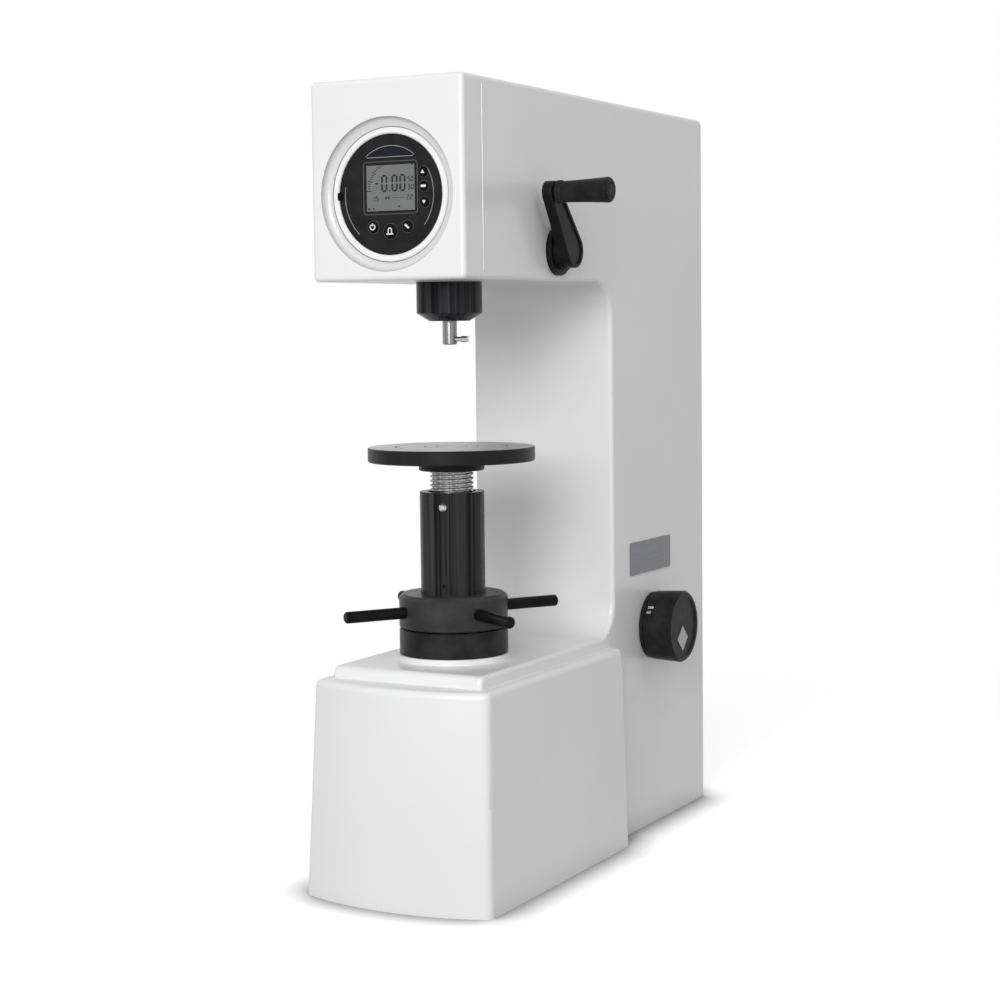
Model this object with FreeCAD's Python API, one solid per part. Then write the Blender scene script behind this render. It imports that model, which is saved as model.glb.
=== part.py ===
import FreeCAD, Part
import math
import os

os.makedirs("parts", exist_ok=True)

# Bench hardness tester, in millimetres.
# +Z is up, -Y is the front, +X is the crank side.
# The origin lies on the floor straight below the test axis.

V = FreeCAD.Vector

# Frame casting, head and column
WIDTH = 150.0
HEAD_HEIGHT = 170.0
FRONT = -105.0
SEAM = -73.0
COLUMN_FRONT = 179.0
REAR = 402.0
WALL = 9.0
THROAT_R = 32.0
EDGE_R = 4.0
OUTLINE_R = 7.0

# Plinth under the test axis
PLINTH_HALF_FLOOR = 93.5
PLINTH_HALF_TOP = 87.5
PLINTH_TOP = 192.0
PLINTH_REAR = 175.0
PLINTH_CORNER_FLOOR = -107.0
PLINTH_CORNER_TOP = -96.0
PLINTH_BULGE = 18.0
PLINTH_EDGE_R = 6.0
PLINTH_CORNER_R = 8.0
PLATEAU_STEP = 11.0
PLATEAU_FRONT = -86.0
BOSS_STEP = 5.0
BOSS_R = 51.5
RIB = 8.0
RIB_BOTTOM = 110.0
CAVITY_RELIEF = 3.0

# Covers and their fasteners
COVER_THICK = 4.0
COVER_MARGIN = 12.0
COVER_LEDGE = 12.0
COVER_GAP = 0.4
COVER_CORNER_R = 5.0
BASE_PLATE_THICK = 6.0
BASE_LUG_R = 9.0
BASE_SCREW_INSET = 8.0
BASE_LUG_HEIGHT = 26.0
REAR_COVER_BOTTOM = 60.0
SCREW_R = 2.5
SCREW_LENGTH = 12.0
SCREW_HEAD_R = 4.6
SCREW_HEAD = 2.4
SCREW_GAP = 0.1
HEAD_GAP = 0.3
HEAD_SINK = 0.2
SLOT = 1.2
LUG = 14.0
LUG_THICK = 8.0

# Elevating screw, its guide and the anvil
SCREW_SHAFT_R = 19.5
SCREW_BOTTOM = 60.0
SCREW_SHOWS = 18.7
SCREW_FIT = 0.05
GUIDE_R = 36.0
GUIDE_BOTTOM = 40.0
BUSH_WALL = 6.4
BUSH_FIT = 0.05
KEY_WIDTH = 6.0
KEY_DEPTH = 3.7
KEY_GAP = 0.1
KEY_LENGTH = 40.0
KEY_END_GAP = 2.0
LIFT_DOWN = 18.0
LIFT_UP = 88.0
ANVIL_R = 75.0
ANVIL_THICK = 13.0
ANVIL_BEVEL = 1.0
COLLAR_R = 29.5
COLLAR_HEIGHT = 8.3
STEM_R = 9.5
STEM_LENGTH = 27.0
RING_RADII = (14.0, 24.0, 50.0)
RING_WIDTH = 1.2
RING_DEPTH = 0.5

# Capstan, its thrust bearing and the dust sleeve
RING_R = 49.0
RING_HEIGHT = 22.6
CAPSTAN_GAP = 1.2
CAPSTAN_HEIGHT = 30.2
CAPSTAN_BEVEL = 3.5
RING_EDGE = 1.0
ROLLER_R = 3.0
ROLLER_LENGTH = 8.0
ROLLER_CIRCLE_R = 30.0
ROLLER_COUNT = 10
ROLLER_GAP = 0.05
RACE_HALF = 6.0
RACE_THICK = 3.0
RACE_GAP = 1.0
BAR_R = 5.25
BAR_TIP = 107.0
BAR_ROOT = 32.0
BAR_BEVEL = 1.5
BAR_COUNT = 4
BAR_ANGLE = -33.2
SLEEVE_R = 29.0
SLEEVE_BORE = 21.5
SLEEVE_LENGTH = 95.6
SLEEVE_SEAT = 4.0
SLEEVE_GAP = 0.3
SLEEVE_SCREW_ANGLE = -77.0
SLEEVE_SCREW_DROP = 12.6
SLEEVE_SCREW_HEAD_R = 3.5
SLEEVE_SCREW_HEAD = 1.8
SLEEVE_SCREW_RIM = 0.6
SLEEVE_SCREW_CROWN_R = 2.1
SLEEVE_SCREW_REACH = 0.5
SET_SCREW_R = 2.0
SET_SCREW_RISE = 13.0
SET_SCREW_SINK = 0.5
SET_SCREW_SOCKET_R = 1.0
SET_SCREW_SOCKET = 1.5

# Indenter housing and main spindle
HOUSING_R = 29.3
HOUSING_CYLINDER = 27.5
HOUSING_TAPER = 7.0
HOUSING_NOSE_R = 18.0
SPIGOT_R = 20.0
SPINDLE_R = 6.5
DAYLIGHT = 90.9
SPINDLE_REACH = 55.5
SPINDLE_FIT = 0.04
SPINDLE_BUSH_R = 11.0
SPINDLE_LIFT = 1.2
SPINDLE_COLLAR_RISE = 30.0
SPINDLE_COLLAR_R = 11.0
SPINDLE_COLLAR = 6.0
STEM_TIP_R = 4.0
INDENTER_BORE_R = 3.2
INDENTER_BORE_DEPTH = 16.0
CHAMFER = 0.8
THUMB_R = 2.25
THUMB_RISE = 4.8
THUMB_TIP = 18.5
THUMB_FIT = 0.05
THUMB_HEAD = 6.0
THUMB_HEAD_EXTRA = 0.6
DISC_COUNT = 4
DISC_R = 10.5
DISC_THICK = 1.0
DISC_GAP = 0.5

# Load lever and its bracket
FULCRUM_Y = -18.0
LEVER_RISE = 54.0
LEVER_HEIGHT = 24.0
LEVER_WIDTH = 22.0
LEVER_TIP_WIDTH = 16.0
LEVER_SLOT_HALF = 7.0
PIN_R = 4.0
PIN_FIT = 0.04
KNIFE_GAP = 0.9
KNIFE_HALF = 2.0
CHEEK_GAP = 2.0
CHEEK = 7.0
BRACKET_BASE = 6.0
BRACKET_FRONT = -42.0
BRACKET_REAR = 34.0
BRACKET_HEIGHT = 110.0

# Crank, its bearings and the eccentric
CRANK_Y = 65.0
CRANK_RISE = 27.0
CRANK_SHAFT_R = 8.0
CRANK_BUSH_WALL = 2.5
ECCENTRIC = 1.15
CRANK_SWING = 90.0
CAM_HALF = 9.0
CAM_GAP = 0.3
CRANK_FLANGE_R = 22.0
CRANK_FLANGE = 5.0
CRANK_FLANGE_BEVEL = 1.0
CRANK_SPIGOT_R = 17.0
CRANK_SPIGOT_IN = 58.0
CRANK_NECK_R = 17.0
END_BOSS_R = 15.0
END_BOSS = 14.0
ARM_IN = 85.0
ARM_THICK = 9.4
ARM_ROOT_R = 15.5
ARM_TIP_R = 10.0
ARM_DY = -38.0
ARM_DZ = 50.0
ARM_EDGE = 1.2
ARM_RIM = 3.2
ARM_RECESS = 1.4
ARM_WEB = 2.0
GRIP_PIN_R = 4.0
GRIP_FIT = 0.1
GRIP_IN = 97.0
GRIP_OUT = 147.5
GRIP_R = 9.3
GRIP_LIP_R = 10.3
GRIP_LIP = 3.0
GRIP_END_R = 11.2
GRIP_ROUND = 3.0
GRIP_RECESS_R = 6.5
GRIP_RECESS = 1.0
GRIP_HEAD_R = 5.5
GRIP_WAIST = 2.0
GRIP_BELLY_R = 10.1
GRIP_BELLY = 28.3
GRIP_COLLAR = 2.0

# Load selector knob, cam and lifting fork
KNOB_Y = 269.0
KNOB_Z = 201.0
KNOB_GAP = 0.6
KNOB_BASE_R = 33.0
KNOB_BASE = 3.4
KNOB_NECK_R = 31.5
KNOB_NECK = 1.2
KNOB_R = 34.0
KNOB_END_R = 35.5
KNOB_OUT = 110.0
KNOB_ROUND = 2.0
KNOB_FACE_R = 30.5
KNOB_FACE = 1.6
KNOB_WEB = 6.0
SELECTOR_SHAFT_R = 7.0
SELECTOR_BUSH_WALL = 2.0
SELECTOR_TURN = 240.0
SELECTOR_CAM_R = 20.0
SELECTOR_CAM_LIFT = 12.0
SELECTOR_CAM_HALF = 5.0
SELECTOR_CAM_HUB = 5.0
SELECTOR_CAM_OVERRUN = 8.0
SELECTOR_CAM_STEPS = 16
DETENT_R = 24.0
DETENT_BALL_R = 3.0
DETENT_SHOW = 1.2
DETENT_GROOVE = 1.6
DETENT_CLEAR = 0.5
DETENT_STUD_R = 2.0
LEAF = 1.2
LEAF_WIDTH = 9.0
LEAF_LENGTH = 42.0
FORK_ROD_R = 6.0
FORK_HALF = 30.0
FORK_SLOT_HALF = 18.0
FORK_THICK = 6.0
FORK_RISE = 75.0
FORK_LIP = 2.0
FORK_REAR = 322.0
FORK_GAP = 0.5
GUIDE_ARM_RISE = 39.0
GUIDE_ARM = 12.0
GUIDE_ARM_HALF = 12.0

# Weights and hanger
HANGER_Y = 300.0
HANGER_ROD_R = 6.0
HANGER_FOOT_R = 16.0
HANGER_FOOT = 10.0
HANGER_CHEEK = 4.4
CLEVIS_BASE = 6.0
CLEVIS_WALL = 2.0
HANGER_SIDE_GAP = 0.6
HANGER_HOLE_GAP = 0.4
WEIGHT_R = 58.0
WEIGHT_GAP = 24.0
WEIGHT_HEIGHTS = (45.0, 30.0, 30.0)
WEIGHT_BORE_GAP = 0.3
WEIGHT_BEVEL = 2.0

# Dashpot that slows the load
DASHPOT_Y = 215.0
DASHPOT_R = 17.0
DASHPOT_WALL = 3.0
DASHPOT_DROP = 62.0
DASHPOT_LENGTH = 80.0
DASHPOT_CAP = 6.0
DASHPOT_ROD_R = 4.0
PISTON_RISE = 40.0
PISTON = 12.0
PISTON_FIT = 0.06
DASHPOT_PIN_R = 3.0

# Indicator with its screen, keys and measuring lever
GAUGE_RISE = 72.5
DISH_R = 65.0
DISH_DEPTH = 6.5
DISH_CURVE_RUN = 0.78
DISH_CURVE_DEPTH = 0.62
GAUGE_BORE_R = 57.0
GAUGE_R = 56.5
DIAL_Y = -97.5
DIAL_R = 50.8
DIAL_THICK = 2.5
BEZEL_R = 51.0
BEZEL_PROUD = 2.0
BEZEL_THICK = 3.0
BEZEL_BEVEL = 1.0
GAUGE_LEDGE_R = 49.0
GAUGE_BACK = -62.0
GAUGE_FLANGE_R = 60.0
GAUGE_FLANGE = 3.0
FASCIA_WALL = 8.0
GAUGE_RING = 5.0
GAUGE_STEM_R = 5.0
GAUGE_STEM_END = -50.0
PLUNGER_R = 2.0
PLUNGER_FIT = 0.05
PLUNGER_STOP = 2.0
SCREEN_LEFT = -24.0
SCREEN_RIGHT = 23.5
SCREEN_BELOW = 13.5
SCREEN_ABOVE = 25.0
SCREEN_SET = 0.4
SCREEN_GAP = 0.2
SCREEN_MODULE = 4.0
SCREEN_BORDER = 3.0
BOARD_THICK = 1.6
KEY_PROUD = 1.2
KEY_FLANGE = 1.0
KEY_BEVEL = 0.5
KEY_FLANGE_THICK = 1.6
KEY_CLEAR = 0.15
KEYS = (
    ("key_lower_left", -17.5, -26.9, 3.0),
    ("key_lower_middle", -0.4, -31.0, 4.0),
    ("key_lower_right", 16.4, -27.2, 3.0),
    ("key_side_top", 32.5, 17.8, 2.8),
    ("key_side_middle", 33.0, 5.9, 2.8),
    ("key_side_bottom", 33.4, -7.3, 2.8),
)
PIVOT_Y = -30.0
PIVOT_RISE = 100.0
PIVOT_R = 2.5
PIVOT_HUB_R = 5.5
PIVOT_HUB_GAP = 1.0
BELL_HALF = 3.0
BELL_ARM = 5.0
BELL_REACH = 8.0
TOUCH_GAP = 0.3

# Label plate on the side
LABEL_FRONT = 217.0
LABEL_REAR = 312.0
LABEL_BOTTOM = 255.5
LABEL_TOP = 287.5
LABEL_THICK = 1.2
LABEL_CORNER_R = 2.0

# How far a cutter runs past the material that it cuts
OVER = 1.0

# Heights that follow from the floor up
PLATEAU_TOP = PLINTH_TOP + PLATEAU_STEP
BOSS_TOP = PLATEAU_TOP + BOSS_STEP
RING_TOP = BOSS_TOP + RING_HEIGHT
CAPSTAN_BOTTOM = RING_TOP + CAPSTAN_GAP
CAPSTAN_TOP = CAPSTAN_BOTTOM + CAPSTAN_HEIGHT
SLEEVE_BOTTOM = CAPSTAN_TOP - SLEEVE_SEAT
SLEEVE_TOP = SLEEVE_BOTTOM + SLEEVE_LENGTH
SCREW_TOP = SLEEVE_TOP + SCREW_SHOWS
ANVIL_BOTTOM = SCREW_TOP + COLLAR_HEIGHT
ANVIL_TOP = ANVIL_BOTTOM + ANVIL_THICK
SPINDLE_BOTTOM = ANVIL_TOP + DAYLIGHT
HEAD_UNDERSIDE = SPINDLE_BOTTOM + SPINDLE_REACH
HEIGHT = HEAD_UNDERSIDE + HEAD_HEIGHT

# Places that follow from the sizes above
HALF = WIDTH / 2.0
INNER = HALF - WALL
HEAD_FLOOR = HEAD_UNDERSIDE + WALL
HEAD_ROOF = HEIGHT - WALL
SPIGOT_TOP = HEAD_FLOOR
REAR_INNER = REAR - WALL
CAVITY_FRONT = PLINTH_CORNER_TOP + WALL + CAVITY_RELIEF
CAVITY_HALF = PLINTH_HALF_TOP - WALL
CAVITY_REAR = PLINTH_REAR - WALL
CAVITY_TOP = PLINTH_TOP - WALL
COLUMN_CAVITY = COLUMN_FRONT + WALL
BUSH_OUTER_R = SCREW_SHAFT_R + BUSH_WALL
GUIDE_BORE_R = BUSH_OUTER_R + BUSH_FIT
KEY_BOTTOM = SCREW_BOTTOM + LIFT_UP + KEY_END_GAP
KEY_TOP = KEY_BOTTOM + KEY_LENGTH
KEYWAY_TOP = KEY_TOP + LIFT_DOWN + KEY_END_GAP
BAR_Z = CAPSTAN_BOTTOM + CAPSTAN_HEIGHT / 2.0
SLEEVE_SCREW_Z = SLEEVE_TOP - SLEEVE_SCREW_DROP
SET_SCREW_Z = SLEEVE_BOTTOM + SET_SCREW_RISE
ROLLER_Z = (RING_TOP + CAPSTAN_BOTTOM) / 2.0
LOWER_RACE_BOTTOM = ROLLER_Z - ROLLER_R - ROLLER_GAP - RACE_THICK
UPPER_RACE_BOTTOM = ROLLER_Z + ROLLER_R + ROLLER_GAP
UPPER_RACE_TOP = UPPER_RACE_BOTTOM + RACE_THICK
HOUSING_STEP = HEAD_UNDERSIDE - HOUSING_CYLINDER
HOUSING_BOTTOM = HOUSING_STEP - HOUSING_TAPER
THUMB_Z = SPINDLE_BOTTOM + THUMB_RISE
COLLAR_BOTTOM = HEAD_UNDERSIDE + SPINDLE_COLLAR_RISE
COLLAR_TOP = COLLAR_BOTTOM + SPINDLE_COLLAR
LEVER_Z = HEAD_UNDERSIDE + LEVER_RISE
LEVER_BOTTOM = LEVER_Z - LEVER_HEIGHT / 2.0
LEVER_HALF = LEVER_WIDTH / 2.0
CHEEK_IN = LEVER_HALF + CHEEK_GAP
CHEEK_OUT = CHEEK_IN + CHEEK
BRACKET_TOP = HEAD_UNDERSIDE + BRACKET_HEIGHT
CRANK_Z = HEAD_UNDERSIDE + CRANK_RISE
CRANK_BUSH_R = CRANK_SHAFT_R + CRANK_BUSH_WALL
CAM_Y = CRANK_Y + ECCENTRIC * math.cos(math.radians(CRANK_SWING / 2.0))
CAM_Z = CRANK_Z + ECCENTRIC * math.sin(math.radians(CRANK_SWING / 2.0))
CAM_R = LEVER_BOTTOM - CAM_GAP - CAM_Z
ARM_OUT = ARM_IN + ARM_THICK
ARM_TIP_Y = CRANK_Y + ARM_DY
ARM_TIP_Z = CRANK_Z + ARM_DZ
SELECTOR_BUSH_R = SELECTOR_SHAFT_R + SELECTOR_BUSH_WALL
KNOB_IN = HALF + KNOB_GAP
FORK_TOP = KNOB_Z + FORK_RISE
GUIDE_ARM_BOTTOM = KNOB_Z + GUIDE_ARM_RISE
WEIGHT_BOTTOM = FORK_TOP + WEIGHT_GAP
DASHPOT_TOP = LEVER_BOTTOM - DASHPOT_DROP
DASHPOT_BOTTOM = DASHPOT_TOP - DASHPOT_LENGTH
PISTON_BOTTOM = DASHPOT_BOTTOM + PISTON_RISE
GAUGE_Z = HEAD_UNDERSIDE + GAUGE_RISE
SCREEN_BOTTOM = GAUGE_Z - SCREEN_BELOW
SCREEN_TOP = GAUGE_Z + SCREEN_ABOVE
PIVOT_Z = HEAD_UNDERSIDE + PIVOT_RISE
DIAL_BACK = DIAL_Y + DIAL_THICK
BEZEL_FRONT = DIAL_Y - BEZEL_PROUD
BEZEL_BACK = BEZEL_FRONT + BEZEL_THICK
BOARD_FRONT = DIAL_BACK + SCREEN_MODULE
STEM_TOP = PIVOT_Z - BELL_HALF - TOUCH_GAP
PLUNGER_TIP = PIVOT_Y - BELL_ARM / 2.0 - TOUCH_GAP


# Basic forms

def box(x0, x1, y0, y1, z0, z1):
    return Part.makeBox(x1 - x0, y1 - y0, z1 - z0, V(x0, y0, z0))


def rod_x(r, x0, x1, y, z):
    return Part.makeCylinder(r, x1 - x0, V(x0, y, z), V(1, 0, 0))


def rod_y(r, y0, y1, x, z):
    return Part.makeCylinder(r, y1 - y0, V(x, y0, z), V(0, 1, 0))


def rod_z(r, z0, z1, x=0.0, y=0.0):
    return Part.makeCylinder(r, z1 - z0, V(x, y, z0), V(0, 0, 1))


def tube_x(outer, inner, x0, x1, y, z):
    return rod_x(outer, x0, x1, y, z).cut(rod_x(inner, x0, x1, y, z))


def tube_z(outer, inner, z0, z1, x=0.0, y=0.0):
    return rod_z(outer, z0, z1, x, y).cut(rod_z(inner, z0, z1, x, y))


def turned(profile):
    """Solid of revolution about Z from (radius, height) corners."""
    corners = [V(r, 0, h) for r, h in profile]
    face = Part.Face(Part.makePolygon(corners + corners[:1]))
    return face.revolve(V(0, 0, 0), V(0, 0, 1), 360)


def turned_x(profile, y, z):
    """Turned solid whose heights run along +X."""
    solid = turned(profile)
    solid.rotate(V(0, 0, 0), V(0, 1, 0), 90)
    solid.translate(V(0, y, z))
    return solid


def turned_y(profile, x, z):
    """Turned solid whose heights run along +Y."""
    solid = turned(profile)
    solid.rotate(V(0, 0, 0), V(1, 0, 0), -90)
    solid.translate(V(x, 0, z))
    return solid


def about_z(shape, degrees):
    copy = shape.copy()
    copy.rotate(V(0, 0, 0), V(0, 0, 1), degrees)
    return copy


def line(a, b):
    return Part.LineSegment(a, b).toShape()


def arc(a, b, c):
    return Part.Arc(a, b, c).toShape()


def fuse_all(shapes):
    first = shapes[0]
    return first.fuse(shapes[1:]).removeSplitter()


def edges_where(shape, test):
    return [edge for edge in shape.Edges if test(edge)]


def along(edge, axis):
    """True if a straight edge runs along the named axis."""
    if edge.Curve.TypeId != "Part::GeomLine":
        return False
    return abs(getattr(edge.Curve.Direction, axis)) > 0.999


def write(name, shape):
    shape.exportStep("parts/" + name + ".step")


def write_group(name, solids):
    write(name, Part.makeCompound(solids))


# Fasteners

def screw(place, direction):
    """Cheese-head screw, its head's seat at place and its shank along direction."""
    shank = Part.makeCylinder(SCREW_R, SCREW_LENGTH, place, direction)
    head = Part.makeCylinder(SCREW_HEAD_R, SCREW_HEAD, place, -direction)
    return shank.fuse(head)


def screw_hole(place, direction):
    return Part.makeCylinder(SCREW_R + SCREW_GAP, SCREW_LENGTH + OVER, place, direction)


def head_hole(place, direction):
    """Counterbore for a screw head, open towards the outside."""
    return Part.makeCylinder(SCREW_HEAD_R + HEAD_GAP, COVER_THICK, place, -direction)


# Places of the cover screws, each with the direction of its shank

LEDGE_X = HALF - COVER_MARGIN - COVER_LEDGE / 2.0
HEAD_SEAT = SCREW_HEAD + HEAD_SINK


def spread(first, last, count):
    return [first + (last - first) * step / (count - 1.0) for step in range(count)]


def top_screws():
    ends = (SEAM + COVER_MARGIN + COVER_LEDGE / 2.0, REAR - COVER_MARGIN - COVER_LEDGE / 2.0)
    return [V(side * LEDGE_X, y, HEIGHT - HEAD_SEAT) for side in (-1, 1) for y in spread(*ends, 3)]


def rear_screws():
    ends = (REAR_COVER_BOTTOM + COVER_LEDGE / 2.0, HEIGHT - 2 * COVER_MARGIN - COVER_LEDGE / 2.0)
    return [V(side * LEDGE_X, REAR - HEAD_SEAT, z) for side in (-1, 1) for z in spread(*ends, 3)]


def base_screws():
    inset = BASE_SCREW_INSET
    near = CAVITY_FRONT + inset
    middle = CAVITY_REAR - inset
    far = REAR_INNER - inset
    places = [(CAVITY_HALF - inset, near), (CAVITY_HALF - inset, middle), (INNER - inset, far)]
    return [V(side * x, y, HEAD_SEAT) for side in (-1, 1) for x, y in places]


def fascia_screws():
    heights = (HEAD_FLOOR + LUG / 2.0, HEAD_ROOF - LUG / 2.0)
    x = INNER - LUG / 2.0
    return [V(side * x, SEAM + LUG_THICK, z) for side in (-1, 1) for z in heights]


# Frame casting

def corner_arc(x, y, z, toward_y, toward_z):
    """Quarter arc of OUTLINE_R at an outline corner, from its Y side to its Z side."""
    r = OUTLINE_R
    slant = r * (1.0 - math.sqrt(0.5))
    start = V(x, y + toward_y * r, z)
    middle = V(x, y + toward_y * slant, z + toward_z * slant)
    end = V(x, y, z + toward_z * r)
    return start, arc(start, middle, end), end


def side_outline():
    """C-shaped side view of head, column and plateau, as a face at x = -HALF."""
    x = -HALF
    bend = COLUMN_FRONT - THROAT_R
    slant = THROAT_R * math.sqrt(0.5)
    upper = HEAD_UNDERSIDE - THROAT_R
    lower = PLATEAU_TOP + THROAT_R
    crown, crown_arc, nape = corner_arc(x, REAR, HEIGHT, -1, -1)
    lip, lip_arc, chin = corner_arc(x, PLATEAU_FRONT, PLATEAU_TOP, 1, -1)
    wire = Part.Wire([
        line(V(x, REAR, 0), nape),
        crown_arc,
        line(crown, V(x, SEAM, HEIGHT)),
        line(V(x, SEAM, HEIGHT), V(x, SEAM, HEAD_UNDERSIDE)),
        line(V(x, SEAM, HEAD_UNDERSIDE), V(x, bend, HEAD_UNDERSIDE)),
        arc(V(x, bend, HEAD_UNDERSIDE), V(x, bend + slant, upper + slant), V(x, COLUMN_FRONT, upper)),
        line(V(x, COLUMN_FRONT, upper), V(x, COLUMN_FRONT, lower)),
        arc(V(x, COLUMN_FRONT, lower), V(x, bend + slant, lower - slant), V(x, bend, PLATEAU_TOP)),
        line(V(x, bend, PLATEAU_TOP), lip),
        lip_arc,
        line(chin, V(x, PLATEAU_FRONT, 0)),
        line(V(x, PLATEAU_FRONT, 0), V(x, REAR, 0)),
    ])
    return Part.Face(wire)


def rounded_c_frame():
    solid = side_outline().extrude(V(WIDTH, 0, 0))

    def outer(edge):
        ends = [vertex.Point for vertex in edge.Vertexes]
        on_side = all(abs(abs(p.x) - HALF) < 0.01 for p in ends) and not along(edge, "x")
        at_seam = all(abs(p.y - SEAM) < 0.01 for p in ends)
        on_floor = all(p.z < 0.01 for p in ends)
        return on_side and not at_seam and not on_floor

    return solid.makeFillet(EDGE_R, edges_where(solid, outer))


def plan_wire(half, front, bulge, z):
    """Plan view of the plinth at one height, with a bowed front."""
    left_rear = V(-half, PLINTH_REAR, z)
    right_rear = V(half, PLINTH_REAR, z)
    left_front = V(-half, front, z)
    right_front = V(half, front, z)
    return Part.Wire([
        line(left_rear, left_front),
        arc(left_front, V(0, front - bulge, z), right_front),
        line(right_front, right_rear),
        line(right_rear, left_rear),
    ])


def plinth():
    floor = plan_wire(PLINTH_HALF_FLOOR, PLINTH_CORNER_FLOOR, PLINTH_BULGE, 0)
    top = plan_wire(PLINTH_HALF_TOP, PLINTH_CORNER_TOP, PLINTH_BULGE, PLINTH_TOP)
    solid = Part.makeLoft([floor, top], True, True)

    def upright(edge):
        span = [vertex.Point.z for vertex in edge.Vertexes]
        return max(span) - min(span) > PLINTH_TOP / 2.0

    def crest(edge):
        return all(abs(vertex.Point.z - PLINTH_TOP) < 0.01 for vertex in edge.Vertexes)

    solid = solid.makeFillet(PLINTH_CORNER_R, edges_where(solid, upright))
    return solid.makeFillet(PLINTH_EDGE_R, edges_where(solid, crest))


def rounded_plate(x_half, y0, y1, z0, z1, corner):
    """Flat plate in the XY plane with rounded corners."""
    plate = box(-x_half, x_half, y0, y1, z0, z1)
    return plate.makeFillet(corner, edges_where(plate, lambda edge: along(edge, "z")))


def rounded_panel(x_half, y0, y1, z0, z1, corner):
    """Upright plate in the XZ plane with rounded corners."""
    plate = box(-x_half, x_half, y0, y1, z0, z1)
    return plate.makeFillet(corner, edges_where(plate, lambda edge: along(edge, "y")))


def top_recess(gap, z0, z1):
    y0 = SEAM + COVER_MARGIN + gap
    y1 = REAR - COVER_MARGIN - gap
    return rounded_plate(HALF - COVER_MARGIN - gap, y0, y1, z0, z1, COVER_CORNER_R)


def rear_recess(gap, y0, y1):
    z0 = REAR_COVER_BOTTOM + gap
    z1 = HEIGHT - 2 * COVER_MARGIN - gap
    return rounded_panel(HALF - COVER_MARGIN - gap, y0, y1, z0, z1, COVER_CORNER_R)


def frame_cavities():
    ledge = COVER_LEDGE
    head = box(-INNER, INNER, SEAM - OVER, REAR_INNER, HEAD_FLOOR, HEAD_ROOF)
    column = box(-INNER, INNER, COLUMN_CAVITY, REAR_INNER, -OVER, HEAD_FLOOR + OVER)
    base = box(-CAVITY_HALF, CAVITY_HALF, CAVITY_FRONT, CAVITY_REAR, -OVER, CAVITY_TOP)
    passage = box(-INNER, INNER, CAVITY_REAR - OVER, COLUMN_CAVITY + OVER, -OVER, CAVITY_TOP)
    top = top_recess(0, HEIGHT - COVER_THICK, HEIGHT + OVER)
    top_hole = top_recess(ledge, HEAD_ROOF - OVER, HEIGHT)
    rear = rear_recess(0, REAR - COVER_THICK, REAR + OVER)
    rear_hole = rear_recess(ledge, REAR_INNER - OVER, REAR)
    return [head, column, base, passage, top, top_hole, rear, rear_hole]


def frame_lugs():
    """Inner bosses: base-plate lugs, fascia lugs, bearing bosses and the screw guide with its ribs."""
    lugs = [rod_z(BASE_LUG_R, BASE_PLATE_THICK, BASE_LUG_HEIGHT, p.x, p.y) for p in base_screws()]
    for p in fascia_screws():
        lugs.append(box(p.x - LUG / 2.0, p.x + LUG / 2.0, SEAM, SEAM + LUG_THICK,
                        p.z - LUG / 2.0, p.z + LUG / 2.0))
    for y, z in ((CRANK_Y, CRANK_Z), (KNOB_Y, KNOB_Z)):
        lugs.append(rod_x(END_BOSS_R, -INNER, END_BOSS - INNER, y, z))
    lugs.append(rod_x(END_BOSS_R, INNER - END_BOSS, INNER, KNOB_Y, KNOB_Z))
    lugs.append(rod_z(GUIDE_R, GUIDE_BOTTOM, CAVITY_TOP))
    lugs.append(box(-CAVITY_HALF, CAVITY_HALF, -RIB / 2.0, RIB / 2.0, RIB_BOTTOM, CAVITY_TOP))
    lugs.append(box(-RIB / 2.0, RIB / 2.0, CAVITY_FRONT, CAVITY_REAR, RIB_BOTTOM, CAVITY_TOP))
    return lugs


def frame_bores():
    bores = [
        rod_z(GUIDE_BORE_R, GUIDE_BOTTOM - OVER, BOSS_TOP + OVER),
        rod_z(SPIGOT_R + BUSH_FIT, HEAD_UNDERSIDE - OVER, HEAD_FLOOR + OVER),
        rod_x(CRANK_SPIGOT_R + BUSH_FIT, INNER - OVER, HALF + OVER, CRANK_Y, CRANK_Z),
        rod_x(CRANK_BUSH_R + BUSH_FIT, -INNER, END_BOSS + OVER - INNER, CRANK_Y, CRANK_Z),
        rod_x(SELECTOR_BUSH_R + BUSH_FIT, -INNER, END_BOSS + OVER - INNER, KNOB_Y, KNOB_Z),
        rod_x(SELECTOR_BUSH_R + BUSH_FIT, INNER - END_BOSS - OVER, HALF + OVER, KNOB_Y, KNOB_Z),
        rod_x(DETENT_BALL_R + BUSH_FIT, INNER - OVER, HALF + OVER, KNOB_Y + DETENT_R, KNOB_Z),
    ]
    bores += [screw_hole(p, V(0, 0, -1)) for p in top_screws()]
    bores += [screw_hole(p, V(0, -1, 0)) for p in rear_screws()]
    bores += [screw_hole(p, V(0, 0, 1)) for p in base_screws()]
    bores += [screw_hole(p, V(0, -1, 0)) for p in fascia_screws()]
    return bores


def frame_casting():
    boss = rod_z(BOSS_R, PLATEAU_TOP - OVER, BOSS_TOP)
    solid = rounded_c_frame().fuse([plinth(), boss])
    solid = solid.cut(frame_cavities())
    solid = solid.fuse(frame_lugs())
    return solid.cut(frame_bores()).removeSplitter()


def base_plate():
    gap = COVER_GAP
    side = CAVITY_HALF - gap
    front = box(-side, side, CAVITY_FRONT + gap, CAVITY_REAR - gap, 0, BASE_PLATE_THICK)
    back = box(gap - INNER, INNER - gap, CAVITY_REAR - OVER, REAR_INNER - gap, 0, BASE_PLATE_THICK)
    plate = fuse_all([front, back])
    up = V(0, 0, 1)
    holes = [screw_hole(p, up) for p in base_screws()] + [head_hole(p, up) for p in base_screws()]
    return plate.cut(holes)


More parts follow.
